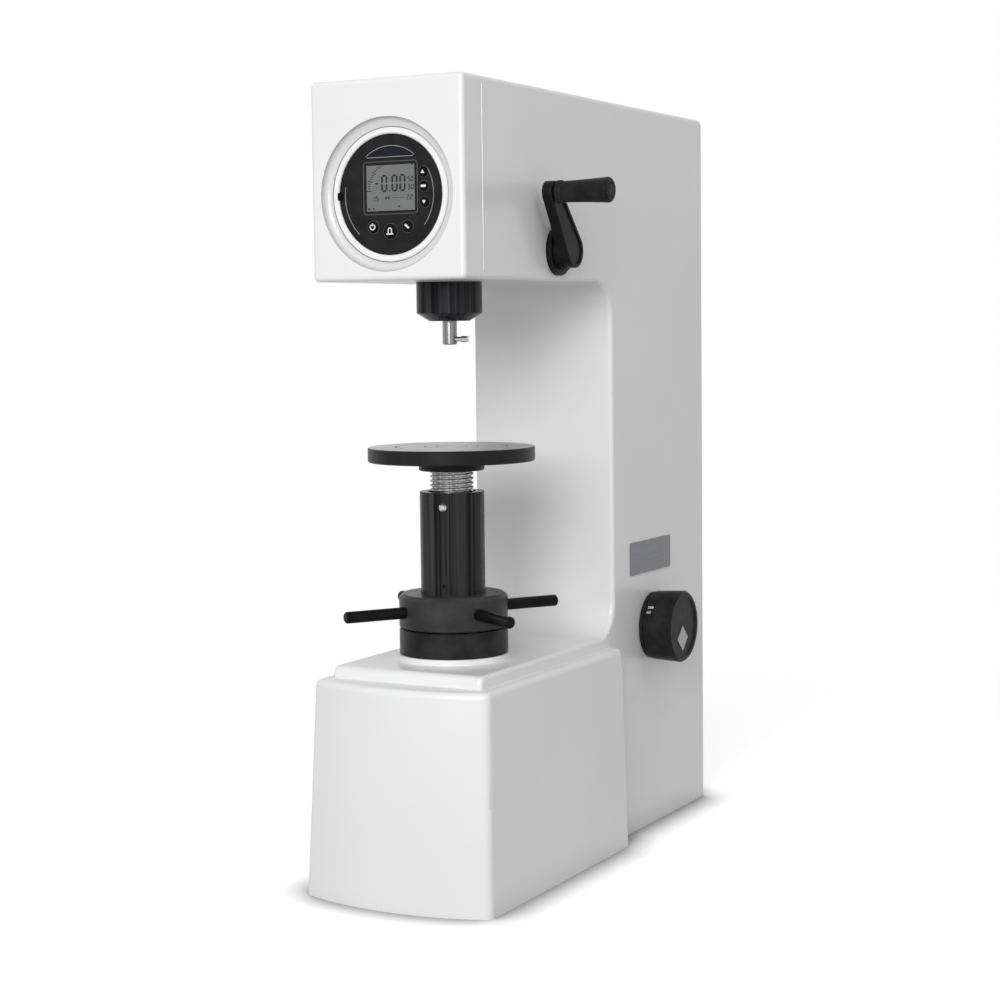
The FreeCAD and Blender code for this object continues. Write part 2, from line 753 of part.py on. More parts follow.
def top_cover():
    plate = top_recess(COVER_GAP, HEIGHT - COVER_THICK, HEIGHT)
    down = V(0, 0, -1)
    holes = [screw_hole(p, down) for p in top_screws()] + [head_hole(p, down) for p in top_screws()]
    return plate.cut(holes)


def rear_cover():
    plate = rear_recess(COVER_GAP, REAR - COVER_THICK, REAR)
    inward = V(0, -1, 0)
    holes = [screw_hole(p, inward) for p in rear_screws()] + [head_hole(p, inward) for p in rear_screws()]
    return plate.cut(holes)


def cover_screws():
    return ([screw(p, V(0, 0, -1)) for p in top_screws()]
            + [screw(p, V(0, -1, 0)) for p in rear_screws()]
            + [screw(p, V(0, 0, 1)) for p in base_screws()]
            + [screw(p, V(0, -1, 0)) for p in fascia_screws()])


def dish():
    """Cove round the indicator, from the fascia's face down to the bore."""
    depth = DISH_DEPTH
    run = DISH_R - GAUGE_BORE_R
    middle = V(GAUGE_BORE_R + run * DISH_CURVE_RUN, 0, depth * DISH_CURVE_DEPTH)
    wire = Part.Wire([
        line(V(0, 0, -OVER), V(DISH_R, 0, -OVER)),
        line(V(DISH_R, 0, -OVER), V(DISH_R, 0, 0)),
        arc(V(DISH_R, 0, 0), middle, V(GAUGE_BORE_R, 0, depth)),
        line(V(GAUGE_BORE_R, 0, depth), V(GAUGE_BORE_R, 0, SEAM - FRONT + OVER)),
        line(V(GAUGE_BORE_R, 0, SEAM - FRONT + OVER), V(0, 0, SEAM - FRONT + OVER)),
        line(V(0, 0, SEAM - FRONT + OVER), V(0, 0, -OVER)),
    ])
    cove = Part.Face(wire).revolve(V(0, 0, 0), V(0, 0, 1), 360)
    cove.rotate(V(0, 0, 0), V(1, 0, 0), -90)
    cove.translate(V(0, FRONT, GAUGE_Z))
    return cove


def fascia():
    shell = box(-HALF, HALF, FRONT, SEAM, HEAD_UNDERSIDE, HEIGHT)

    def outer(edge):
        return not all(abs(vertex.Point.y - SEAM) < 0.01 for vertex in edge.Vertexes)

    shell = shell.makeFillet(EDGE_R, edges_where(shell, outer))
    hollow = box(-INNER, INNER, FRONT + FASCIA_WALL, SEAM + OVER, HEAD_FLOOR, HEAD_ROOF)
    ring = rod_y(GAUGE_BORE_R + GAUGE_RING, FRONT + FASCIA_WALL - OVER, SEAM, 0, GAUGE_Z)
    posts = []
    for p in fascia_screws():
        posts.append(box(p.x - LUG / 2.0, p.x + LUG / 2.0, FRONT + FASCIA_WALL - OVER, SEAM,
                         p.z - LUG / 2.0, p.z + LUG / 2.0))
    holes = [screw_hole(p, V(0, -1, 0)) for p in fascia_screws()]
    return shell.cut(hollow).fuse(posts + [ring]).cut([dish()] + holes).removeSplitter()


def label_plate():
    plate = box(HALF, HALF + LABEL_THICK, LABEL_FRONT, LABEL_REAR, LABEL_BOTTOM, LABEL_TOP)
    return plate.makeFillet(LABEL_CORNER_R, edges_where(plate, lambda edge: along(edge, "x")))


# Elevating screw group

def screw_flange():
    """Fixed lower ring, with the groove of the thrust bearing in its top."""
    solid = turned([
        (SCREW_SHAFT_R + SCREW_FIT, BOSS_TOP),
        (RING_R, BOSS_TOP),
        (RING_R, RING_TOP - RING_EDGE),
        (RING_R - RING_EDGE, RING_TOP),
        (SCREW_SHAFT_R + SCREW_FIT, RING_TOP),
    ])
    half = RACE_HALF + RACE_GAP
    seat = tube_z(ROLLER_CIRCLE_R + half, ROLLER_CIRCLE_R - half, LOWER_RACE_BOTTOM, RING_TOP + OVER)
    return solid.cut(seat)


def screw_bush():
    bush = tube_z(BUSH_OUTER_R, SCREW_SHAFT_R + SCREW_FIT, GUIDE_BOTTOM, BOSS_TOP)
    half = KEY_WIDTH / 2.0
    return bush.cut(box(-half, half, SCREW_SHAFT_R - KEY_DEPTH, BUSH_OUTER_R + OVER, KEY_BOTTOM, KEY_TOP))


def guide_key():
    half = KEY_WIDTH / 2.0
    key = box(-half, half, SCREW_SHAFT_R - KEY_DEPTH + KEY_GAP, BUSH_OUTER_R + OVER, KEY_BOTTOM, KEY_TOP)
    return key.common(rod_z(BUSH_OUTER_R, KEY_BOTTOM, KEY_TOP))


def race(bottom):
    return tube_z(ROLLER_CIRCLE_R + RACE_HALF, ROLLER_CIRCLE_R - RACE_HALF, bottom, bottom + RACE_THICK)


def thrust_rollers():
    half = ROLLER_LENGTH / 2.0
    roller = rod_x(ROLLER_R, ROLLER_CIRCLE_R - half, ROLLER_CIRCLE_R + half, 0, ROLLER_Z)
    return [about_z(roller, 360.0 * step / ROLLER_COUNT) for step in range(ROLLER_COUNT)]


def elevating_screw():
    shaft = rod_z(SCREW_SHAFT_R, SCREW_BOTTOM, SCREW_TOP)
    half = KEY_WIDTH / 2.0 + KEY_GAP
    floor = SCREW_SHAFT_R - KEY_DEPTH
    keyway = box(-half, half, floor, SCREW_SHAFT_R + OVER, SCREW_BOTTOM - OVER, KEYWAY_TOP)
    bore = rod_z(STEM_R + BUSH_FIT, SCREW_TOP - STEM_LENGTH - OVER, SCREW_TOP + OVER)
    return shaft.cut([keyway, bore])


def anvil():
    """Large flat anvil with its collar, its stem and the centring rings cut in its top."""
    solid = turned([
        (0, SCREW_TOP - STEM_LENGTH),
        (STEM_R, SCREW_TOP - STEM_LENGTH),
        (STEM_R, SCREW_TOP),
        (COLLAR_R - ANVIL_BEVEL, SCREW_TOP),
        (COLLAR_R, SCREW_TOP + ANVIL_BEVEL),
        (COLLAR_R, ANVIL_BOTTOM),
        (ANVIL_R - ANVIL_BEVEL, ANVIL_BOTTOM),
        (ANVIL_R, ANVIL_BOTTOM + ANVIL_BEVEL),
        (ANVIL_R, ANVIL_TOP - ANVIL_BEVEL),
        (ANVIL_R - ANVIL_BEVEL, ANVIL_TOP),
        (0, ANVIL_TOP),
    ])
    half = RING_WIDTH / 2.0
    grooves = [tube_z(r + half, r - half, ANVIL_TOP - RING_DEPTH, ANVIL_TOP + OVER) for r in RING_RADII]
    return solid.cut(grooves)


# Capstan group

def bar_angles():
    return [BAR_ANGLE + 360.0 * step / BAR_COUNT for step in range(BAR_COUNT)]


def capstan_nut():
    solid = turned([
        (SCREW_SHAFT_R + SCREW_FIT, CAPSTAN_BOTTOM),
        (RING_R - RING_EDGE, CAPSTAN_BOTTOM),
        (RING_R, CAPSTAN_BOTTOM + RING_EDGE),
        (RING_R, CAPSTAN_TOP - CAPSTAN_BEVEL),
        (RING_R - CAPSTAN_BEVEL, CAPSTAN_TOP),
        (SLEEVE_R + SLEEVE_GAP, CAPSTAN_TOP),
        (SLEEVE_R + SLEEVE_GAP, SLEEVE_BOTTOM),
        (SCREW_SHAFT_R + SCREW_FIT, SLEEVE_BOTTOM),
    ])
    half = RACE_HALF + RACE_GAP
    seat = tube_z(ROLLER_CIRCLE_R + half, ROLLER_CIRCLE_R - half, CAPSTAN_BOTTOM - OVER, UPPER_RACE_TOP)
    hole = rod_x(BAR_R, BAR_ROOT, RING_R + OVER, 0, BAR_Z)
    return solid.cut([seat] + [about_z(hole, angle) for angle in bar_angles()])


def capstan_bars():
    """Four radial bars with bevelled ends, screwed into the nut."""
    bar = turned_x([
        (0, BAR_ROOT),
        (BAR_R, BAR_ROOT),
        (BAR_R, BAR_TIP - BAR_BEVEL),
        (BAR_R - BAR_BEVEL, BAR_TIP),
        (0, BAR_TIP),
    ], 0, BAR_Z)
    return [about_z(bar, angle) for angle in bar_angles()]


def sleeve():
    tube = tube_z(SLEEVE_R, SLEEVE_BORE, SLEEVE_BOTTOM, SLEEVE_TOP)
    upper = rod_x(SCREW_R + SCREW_GAP, SLEEVE_BORE - OVER, SLEEVE_R + OVER, 0, SLEEVE_SCREW_Z)
    lower = rod_x(SET_SCREW_R + SCREW_GAP, SLEEVE_BORE - OVER, SLEEVE_R + OVER, 0, SET_SCREW_Z)
    return tube.cut([about_z(hole, SLEEVE_SCREW_ANGLE) for hole in (upper, lower)])


def sleeve_screws():
    """Round-head screw near the sleeve's top and a set screw near its foot."""
    head = SLEEVE_SCREW_HEAD
    rim = SLEEVE_SCREW_HEAD_R
    profile = [(0, 0), (rim, 0), (rim, SLEEVE_SCREW_RIM), (SLEEVE_SCREW_CROWN_R, head), (0, head)]
    round_head = turned_x(profile, 0, SLEEVE_SCREW_Z)
    round_head.translate(V(SLEEVE_R, 0, 0))
    reach = SLEEVE_BORE + SLEEVE_SCREW_REACH
    shank = rod_x(SCREW_R, reach, SLEEVE_R + SLEEVE_SCREW_RIM / 2.0, 0, SLEEVE_SCREW_Z)
    set_end = SLEEVE_R - SET_SCREW_SINK
    set_screw = rod_x(SET_SCREW_R, reach, set_end, 0, SET_SCREW_Z)
    socket = rod_x(SET_SCREW_SOCKET_R, set_end - SET_SCREW_SOCKET, SLEEVE_R, 0, SET_SCREW_Z)
    return [about_z(solid, SLEEVE_SCREW_ANGLE) for solid in (round_head.fuse(shank), set_screw.cut(socket))]


# Indenter housing and spindle

def indenter_housing():
    bore = SPINDLE_BUSH_R + BUSH_FIT
    return turned([
        (bore, HOUSING_BOTTOM),
        (HOUSING_NOSE_R, HOUSING_BOTTOM),
        (HOUSING_R, HOUSING_STEP),
        (HOUSING_R, HEAD_UNDERSIDE),
        (SPIGOT_R, HEAD_UNDERSIDE),
        (SPIGOT_R, SPIGOT_TOP),
        (bore, SPIGOT_TOP),
    ])


def spindle_bush():
    return tube_z(SPINDLE_BUSH_R, SPINDLE_R + SPINDLE_FIT, HOUSING_BOTTOM, SPIGOT_TOP)


def main_spindle():
    solid = turned([
        (0, SPINDLE_BOTTOM),
        (SPINDLE_R - CHAMFER, SPINDLE_BOTTOM),
        (SPINDLE_R, SPINDLE_BOTTOM + CHAMFER),
        (SPINDLE_R, COLLAR_BOTTOM),
        (SPINDLE_COLLAR_R, COLLAR_BOTTOM),
        (SPINDLE_COLLAR_R, COLLAR_TOP),
        (STEM_TIP_R, COLLAR_TOP),
        (STEM_TIP_R, STEM_TOP),
        (0, STEM_TOP),
    ])
    seat = rod_z(INDENTER_BORE_R, SPINDLE_BOTTOM - OVER, SPINDLE_BOTTOM + INDENTER_BORE_DEPTH)
    clamp = rod_x(THUMB_R + THUMB_FIT, 0, SPINDLE_R + OVER, 0, THUMB_Z)
    return solid.cut([seat, clamp])


def thumb_screw():
    """Slotted clamping screw that holds the indenter's shank."""
    shank = rod_x(THUMB_R, INDENTER_BORE_R + THUMB_FIT, THUMB_TIP, 0, THUMB_Z)
    head = rod_x(THUMB_R + THUMB_HEAD_EXTRA, THUMB_TIP - THUMB_HEAD, THUMB_TIP, 0, THUMB_Z)
    over = THUMB_R + THUMB_HEAD_EXTRA + OVER
    slot = box(THUMB_TIP - SLOT, THUMB_TIP + OVER, -over, over, THUMB_Z - SLOT / 2.0, THUMB_Z + SLOT / 2.0)
    return shank.fuse(head).cut(slot)


def spindle_spring():
    """Stack of coned disc springs between the bush and the spindle's collar, set in turn face to face."""
    room = COLLAR_BOTTOM - SPIGOT_TOP
    step = room / DISC_COUNT
    inner = SPINDLE_R + DISC_GAP
    discs = []
    for index in range(DISC_COUNT):
        low = SPIGOT_TOP + index * step
        high = low + step
        near, far = (inner, DISC_R) if index % 2 == 0 else (DISC_R, inner)
        discs.append(turned([(near, high - DISC_THICK), (far, low), (far, low + DISC_THICK), (near, high)]))
    return discs


# Load lever group

def load_lever():
    """Second-order lever, round at its fulcrum, deepest over the spindle and tapered to its rear end."""
    half = LEVER_HEIGHT / 2.0
    tip = LEVER_TIP_WIDTH / 2.0
    x = -LEVER_HALF
    front_low = V(x, FULCRUM_Y, LEVER_Z - half)
    front_high = V(x, FULCRUM_Y, LEVER_Z + half)
    rear_low = V(x, HANGER_Y, LEVER_Z - tip)
    rear_high = V(x, HANGER_Y, LEVER_Z + tip)
    waist_low = V(x, CRANK_Y + LEVER_HEIGHT, LEVER_Z - half)
    waist_high = V(x, CRANK_Y, LEVER_Z + half)
    wire = Part.Wire([
        arc(front_low, V(x, FULCRUM_Y - half, LEVER_Z), front_high),
        line(front_high, waist_high),
        line(waist_high, rear_high),
        arc(rear_high, V(x, HANGER_Y + tip, LEVER_Z), rear_low),
        line(rear_low, waist_low),
        line(waist_low, front_low),
    ])
    beam = Part.Face(wire).extrude(V(LEVER_WIDTH, 0, 0))
    over = LEVER_HALF + OVER
    slot = LEVER_SLOT_HALF
    cuts = [
        rod_x(PIN_R + PIN_FIT, -over, over, FULCRUM_Y, LEVER_Z),
        rod_x(PIN_R + HANGER_HOLE_GAP, -over, over, HANGER_Y, LEVER_Z),
        rod_x(DASHPOT_PIN_R + HANGER_HOLE_GAP, -over, over, DASHPOT_Y, LEVER_Z),
        rod_z(slot, LEVER_BOTTOM - OVER, LEVER_BOTTOM + LEVER_HEIGHT + OVER),
    ]
    return beam.cut(cuts)


def spindle_knife():
    """Pair of hardened wedges under the lever that press on the spindle's collar."""
    wedges = []
    for side in (-1, 1):
        x0 = side * LEVER_HALF if side < 0 else LEVER_SLOT_HALF
        wire = Part.makePolygon([
            V(x0, -KNIFE_HALF, LEVER_BOTTOM),
            V(x0, KNIFE_HALF, LEVER_BOTTOM),
            V(x0, 0, COLLAR_TOP + SPINDLE_LIFT + KNIFE_GAP),
            V(x0, -KNIFE_HALF, LEVER_BOTTOM),
        ])
        wedges.append(Part.Face(wire).extrude(V(LEVER_HALF - LEVER_SLOT_HALF, 0, 0)))
    return wedges


def fulcrum_bracket():
    """U-shaped bracket that carries the lever's pin and the measuring lever's pin."""
    base = box(-CHEEK_OUT, CHEEK_OUT, BRACKET_FRONT, BRACKET_REAR, HEAD_FLOOR, HEAD_FLOOR + BRACKET_BASE)
    base = base.cut(rod_z(SPINDLE_BUSH_R, HEAD_FLOOR - OVER, HEAD_FLOOR + BRACKET_BASE + OVER))
    over = CHEEK_OUT + OVER
    cheeks = []
    for x in (-CHEEK_OUT, CHEEK_IN):
        wire = Part.makePolygon([
            V(x, BRACKET_FRONT, HEAD_FLOOR),
            V(x, BRACKET_REAR, HEAD_FLOOR),
            V(x, FULCRUM_Y + LEVER_HEIGHT, LEVER_Z),
            V(x, PIVOT_Y + 2 * PIVOT_HUB_R, BRACKET_TOP),
            V(x, BRACKET_FRONT, BRACKET_TOP),
            V(x, BRACKET_FRONT, HEAD_FLOOR),
        ])
        cheeks.append(Part.Face(wire).extrude(V(CHEEK, 0, 0)))
    holes = [
        rod_x(PIN_R + PIN_FIT, -over, over, FULCRUM_Y, LEVER_Z),
        rod_x(PIVOT_R + PIN_FIT, -over, over, PIVOT_Y, PIVOT_Z),
    ]
    return fuse_all([base] + cheeks).cut(holes)


def cross_pin(radius, half, y, z):
    return rod_x(radius, -half, half, y, z)


def bracket_pins():
    """The load lever's fulcrum pin and the thinner pin of the measuring lever."""
    fulcrum = cross_pin(PIN_R, CHEEK_OUT, FULCRUM_Y, LEVER_Z)
    pivot = cross_pin(PIVOT_R, CHEEK_OUT, PIVOT_Y, PIVOT_Z)
    return [fulcrum, pivot]


def measuring_lever():
    """Bell crank from the spindle's stem to the indicator's plunger."""
    half = BELL_HALF
    down = PIVOT_Z - GAUGE_Z + half
    flat = box(-half, half, PIVOT_Y, BELL_REACH, PIVOT_Z - half, PIVOT_Z + half)
    leg = box(-half, half, PIVOT_Y - BELL_ARM / 2.0, PIVOT_Y + BELL_ARM / 2.0, PIVOT_Z - down, PIVOT_Z)
    hub = rod_x(PIVOT_HUB_R, PIVOT_HUB_GAP - CHEEK_IN, CHEEK_IN - PIVOT_HUB_GAP, PIVOT_Y, PIVOT_Z)
    bore = rod_x(PIVOT_R + PIN_FIT, -CHEEK_IN, CHEEK_IN, PIVOT_Y, PIVOT_Z)
    return fuse_all([flat, leg, hub]).cut(bore)


# Crank group

def crank_flange():
    bore = CRANK_BUSH_R + BUSH_FIT
    return turned_x([
        (bore, CRANK_SPIGOT_IN),
        (CRANK_SPIGOT_R, CRANK_SPIGOT_IN),
        (CRANK_SPIGOT_R, HALF),
        (CRANK_FLANGE_R, HALF),
        (CRANK_FLANGE_R, HALF + CRANK_FLANGE - CRANK_FLANGE_BEVEL),
        (CRANK_FLANGE_R - CRANK_FLANGE_BEVEL, HALF + CRANK_FLANGE),
        (bore, HALF + CRANK_FLANGE),
    ], CRANK_Y, CRANK_Z)


def crank_bushes():
    bore = CRANK_SHAFT_R + BUSH_FIT
    near = tube_x(CRANK_BUSH_R, bore, CRANK_SPIGOT_IN, HALF + CRANK_FLANGE, CRANK_Y, CRANK_Z)
    far = tube_x(CRANK_BUSH_R, bore, -INNER, END_BOSS - INNER, CRANK_Y, CRANK_Z)
    return [near, far]


def crank_shaft():
    """Shaft with the eccentric that holds the lever up until the load is released."""
    end = ARM_OUT - ARM_WEB
    shaft = rod_x(CRANK_SHAFT_R, COVER_GAP - INNER, end, CRANK_Y, CRANK_Z)
    cam = rod_x(CAM_R, -CAM_HALF, CAM_HALF, CAM_Y, CAM_Z)
    neck = rod_x(CRANK_NECK_R, HALF + CRANK_FLANGE + CAM_GAP, ARM_IN, CRANK_Y, CRANK_Z)
    return fuse_all([shaft, cam, neck])


def arm_wire(x, shrink):
    """Outline of the crank arm: two round bosses joined by their outer tangents."""
    run = math.hypot(ARM_DY, ARM_DZ)
    root = ARM_ROOT_R - shrink
    tip = ARM_TIP_R - shrink
    lean = math.atan2(ARM_DZ, ARM_DY)
    spread_angle = math.acos((root - tip) / run)

    def at(y, z, radius, angle):
        return V(x, y + radius * math.cos(angle), z + radius * math.sin(angle))

    left = lean + spread_angle
    right = lean - spread_angle
    root_left = at(CRANK_Y, CRANK_Z, root, left)
    root_right = at(CRANK_Y, CRANK_Z, root, right)
    tip_left = at(ARM_TIP_Y, ARM_TIP_Z, tip, left)
    tip_right = at(ARM_TIP_Y, ARM_TIP_Z, tip, right)
    return Part.Wire([
        arc(root_left, at(CRANK_Y, CRANK_Z, root, lean + math.pi), root_right),
        line(root_right, tip_right),
        arc(tip_right, at(ARM_TIP_Y, ARM_TIP_Z, tip, lean), tip_left),
        line(tip_left, root_left),
    ])


def crank_arm():
    """Tapered arm with a sunk panel in its outer face."""
    arm = Part.Face(arm_wire(ARM_IN, 0)).extrude(V(ARM_THICK, 0, 0))

    def outer(edge):
        return edge.BoundBox.XMin > ARM_OUT - 0.01

    arm = arm.makeFillet(ARM_EDGE, edges_where(arm, outer))
    panel = Part.Face(arm_wire(ARM_OUT - ARM_RECESS, ARM_RIM)).extrude(V(ARM_RECESS + OVER, 0, 0))
    shaft = rod_x(CRANK_SHAFT_R, ARM_IN - OVER, ARM_OUT - ARM_WEB, CRANK_Y, CRANK_Z)
    pin = rod_x(GRIP_PIN_R, ARM_IN - OVER, ARM_OUT + OVER, ARM_TIP_Y, ARM_TIP_Z)
    return arm.cut([panel, shaft, pin])


def grip_pin():
    shank = rod_x(GRIP_PIN_R, ARM_IN, GRIP_OUT, ARM_TIP_Y, ARM_TIP_Z)
    head = rod_x(GRIP_HEAD_R, GRIP_OUT - GRIP_RECESS, GRIP_OUT, ARM_TIP_Y, ARM_TIP_Z)
    collar = rod_x(GRIP_PIN_R + GRIP_COLLAR, ARM_OUT - ARM_RECESS, GRIP_IN - CAM_GAP, ARM_TIP_Y, ARM_TIP_Z)
    return fuse_all([shank, head, collar])


def crank_grip():
    """Turned grip, swelling towards its outer end, with a recess for the pin's head."""
    bore = GRIP_PIN_R + GRIP_FIT
    length = GRIP_OUT - GRIP_IN
    waist = V(GRIP_R, 0, GRIP_LIP + GRIP_WAIST)
    swell = V(GRIP_END_R, 0, length - GRIP_ROUND)
    belly = V(GRIP_BELLY_R, 0, GRIP_BELLY)
    slant = GRIP_ROUND * math.sqrt(0.5)
    corner = V(GRIP_END_R - GRIP_ROUND + slant, 0, length - GRIP_ROUND + slant)
    floor = length - GRIP_RECESS - GRIP_FIT
    wire = Part.Wire([
        line(V(bore, 0, 0), V(GRIP_LIP_R, 0, 0)),
        line(V(GRIP_LIP_R, 0, 0), V(GRIP_LIP_R, 0, GRIP_LIP)),
        line(V(GRIP_LIP_R, 0, GRIP_LIP), waist),
        arc(waist, belly, swell),
        arc(swell, corner, V(GRIP_END_R - GRIP_ROUND, 0, length)),
        line(V(GRIP_END_R - GRIP_ROUND, 0, length), V(GRIP_RECESS_R, 0, length)),
        line(V(GRIP_RECESS_R, 0, length), V(GRIP_RECESS_R, 0, floor)),
        line(V(GRIP_RECESS_R, 0, floor), V(bore, 0, floor)),
        line(V(bore, 0, floor), V(bore, 0, 0)),
    ])
    grip = Part.Face(wire).revolve(V(0, 0, 0), V(0, 0, 1), 360)
    grip.rotate(V(0, 0, 0), V(0, 1, 0), 90)
    grip.translate(V(GRIP_IN, ARM_TIP_Y, ARM_TIP_Z))
    return grip


# Load selector group

def selector_bushes():
    outer = SELECTOR_BUSH_R
    inner = SELECTOR_SHAFT_R + BUSH_FIT
    near = tube_x(outer, inner, INNER - END_BOSS, HALF, KNOB_Y, KNOB_Z)
    far = tube_x(outer, inner, -INNER, END_BOSS - INNER, KNOB_Y, KNOB_Z)
    return [near, far]


def spiral_cam():
    """Cam whose radius grows evenly with the turn of the knob, lowest at the top in the rest position."""
    growth = SELECTOR_CAM_LIFT / math.radians(SELECTOR_TURN)
    steps = SELECTOR_CAM_STEPS
    over = math.radians(SELECTOR_CAM_OVERRUN)
    points = []
    for step in range(steps + 1):
        turn = -over + (math.radians(SELECTOR_TURN) + 2 * over) * step / steps
        radius = SELECTOR_CAM_R + growth * turn
        # The cam's point that comes to the top after this turn about +X.
        points.append(V(0, KNOB_Y + radius * math.sin(turn), KNOB_Z + radius * math.cos(turn)))
    curve = Part.BSplineCurve()
    curve.interpolate(points)
    wire = Part.Wire([curve.toShape(), line(points[-1], points[0])])
    cam = Part.Face(wire).extrude(V(2 * SELECTOR_CAM_HALF, 0, 0))
    cam.translate(V(-SELECTOR_CAM_HALF, 0, 0))
    reach = 2 * SELECTOR_CAM_HALF
    hub = rod_x(SELECTOR_SHAFT_R + SELECTOR_CAM_HUB, -reach, reach, KNOB_Y, KNOB_Z)
    return cam.fuse(hub)


def selector_shaft():
    shaft = rod_x(SELECTOR_SHAFT_R, COVER_GAP - INNER, KNOB_OUT - KNOB_WEB, KNOB_Y, KNOB_Z)
    return fuse_all([shaft, spiral_cam()])


def selector_knob():
    """Dished knob on a thin base ring, with the detent's groove in its back."""
    base = KNOB_IN + KNOB_BASE
    neck = base + KNOB_NECK
    end = KNOB_OUT
    knob = turned_x([
        (0, KNOB_IN),
        (KNOB_BASE_R, KNOB_IN),
        (KNOB_BASE_R, base),
        (KNOB_NECK_R, base),
        (KNOB_NECK_R, neck),
        (KNOB_R, neck),
        (KNOB_END_R, end - KNOB_ROUND),
        (KNOB_END_R - KNOB_ROUND, end),
        (KNOB_FACE_R, end),
        (KNOB_FACE_R - KNOB_FACE, end - KNOB_FACE),
        (0, end - KNOB_FACE),
    ], KNOB_Y, KNOB_Z)
    half = DETENT_BALL_R + DETENT_CLEAR
    far, near = DETENT_R + half, DETENT_R - half
    groove = tube_x(far, near, KNOB_IN - OVER, KNOB_IN + DETENT_GROOVE, KNOB_Y, KNOB_Z)
    bore = rod_x(SELECTOR_SHAFT_R, KNOB_IN - OVER, KNOB_OUT - KNOB_WEB, KNOB_Y, KNOB_Z)
    return knob.cut([groove, bore])


def detent_ball():
    x = HALF + DETENT_SHOW - DETENT_BALL_R + KNOB_GAP
    return Part.makeSphere(DETENT_BALL_R, V(x, KNOB_Y + DETENT_R, KNOB_Z))


def detent_spring():
    """Leaf spring on the wall's inside with a stud that bears on the ball."""
    y = KNOB_Y + DETENT_R
    half = LEAF_WIDTH / 2.0
    leaf = box(INNER - LEAF, INNER, y - half, y - half + LEAF_LENGTH, KNOB_Z - half, KNOB_Z + half)
    back = HALF + DETENT_SHOW + KNOB_GAP - 2 * DETENT_BALL_R
    stud = rod_x(DETENT_STUD_R, INNER - LEAF, back, y, KNOB_Z)
    return leaf.fuse(stud)


def lift_guide():
    """Arm on the column's inner wall that guides the lifting fork's rod."""
    rear = KNOB_Y + GUIDE_ARM_HALF
    top = GUIDE_ARM_BOTTOM + GUIDE_ARM
    arm = box(-GUIDE_ARM_HALF, GUIDE_ARM_HALF, COLUMN_CAVITY, rear, GUIDE_ARM_BOTTOM, top)
    half, low = GUIDE_ARM_HALF, GUIDE_ARM_BOTTOM - GUIDE_ARM
    foot = box(-half, half, COLUMN_CAVITY, COLUMN_CAVITY + RIB, low, top)
    bore = rod_z(FORK_ROD_R + BUSH_FIT, GUIDE_ARM_BOTTOM - OVER, top + OVER, 0, KNOB_Y)
    return fuse_all([arm, foot]).cut(bore)


def lifting_fork():
    """Rod with a round foot on the cam and a fork round the hanger's rod."""
    foot = KNOB_Z + SELECTOR_CAM_R + FORK_GAP + FORK_ROD_R
    rod = rod_z(FORK_ROD_R, foot, FORK_TOP, 0, KNOB_Y)
    ball = Part.makeSphere(FORK_ROD_R, V(0, KNOB_Y, foot))
    front = KNOB_Y - FORK_ROD_R - FORK_LIP
    plate = box(-FORK_HALF, FORK_HALF, front, FORK_REAR, FORK_TOP - FORK_THICK, FORK_TOP)
    slot = box(-FORK_SLOT_HALF, FORK_SLOT_HALF, HANGER_Y - FORK_SLOT_HALF, FORK_REAR + OVER,
               FORK_TOP - FORK_THICK - OVER, FORK_TOP + OVER)
    return rod.fuse([ball, plate]).cut(slot).removeSplitter()


# Weights, hanger and dashpot

def clevis(y, bottom, base, pin_r):
    """Fork round the lever with its cross pin, on top of a rod."""
    inner = LEVER_HALF + HANGER_SIDE_GAP
    outer = inner + HANGER_CHEEK
    reach = 2 * pin_r + CLEVIS_WALL
    block = box(-outer, outer, y - reach, y + reach, bottom, LEVER_Z + reach)
    gap = box(-inner, inner, y - reach - OVER, y + reach + OVER, bottom + base, LEVER_Z + reach + OVER)
    return block.cut(gap).fuse(cross_pin(pin_r, outer, y, LEVER_Z))


def hanger_rod():
    top = LEVER_BOTTOM - HANGER_FOOT
    rod = rod_z(HANGER_ROD_R, WEIGHT_BOTTOM - HANGER_FOOT, top + OVER, 0, HANGER_Y)
    foot = rod_z(HANGER_FOOT_R, WEIGHT_BOTTOM - HANGER_FOOT, WEIGHT_BOTTOM, 0, HANGER_Y)
    return fuse_all([rod, foot, clevis(HANGER_Y, top, CLEVIS_BASE, PIN_R)])


def weight(bottom, height):
    top = bottom + height
    bore = HANGER_ROD_R + WEIGHT_BORE_GAP
    solid = turned([
        (bore, bottom),
        (WEIGHT_R - WEIGHT_BEVEL, bottom),
        (WEIGHT_R, bottom + WEIGHT_BEVEL),
        (WEIGHT_R, top - WEIGHT_BEVEL),
        (WEIGHT_R - WEIGHT_BEVEL, top),
        (bore, top),
    ])
    solid.translate(V(0, HANGER_Y, 0))
    return solid


def dashpot_cylinder():
    """Oil cylinder with the flange that bolts to the column's inner wall."""
    inner = DASHPOT_R - DASHPOT_WALL
    body = rod_z(DASHPOT_R, DASHPOT_BOTTOM, DASHPOT_TOP, 0, DASHPOT_Y)
    height = DASHPOT_TOP - DASHPOT_BOTTOM
    flange = box(-DASHPOT_R - DASHPOT_WALL, DASHPOT_R + DASHPOT_WALL, COLUMN_CAVITY, DASHPOT_Y,
                 DASHPOT_BOTTOM + height / 4.0, DASHPOT_TOP - height / 4.0)
    bore = rod_z(inner, DASHPOT_BOTTOM + DASHPOT_CAP, DASHPOT_TOP + OVER, 0, DASHPOT_Y)
    return fuse_all([body, flange]).cut(bore)


def dashpot_cap():
    bore = DASHPOT_ROD_R + PISTON_FIT
    return tube_z(DASHPOT_R, bore, DASHPOT_TOP, DASHPOT_TOP + DASHPOT_CAP, 0, DASHPOT_Y)


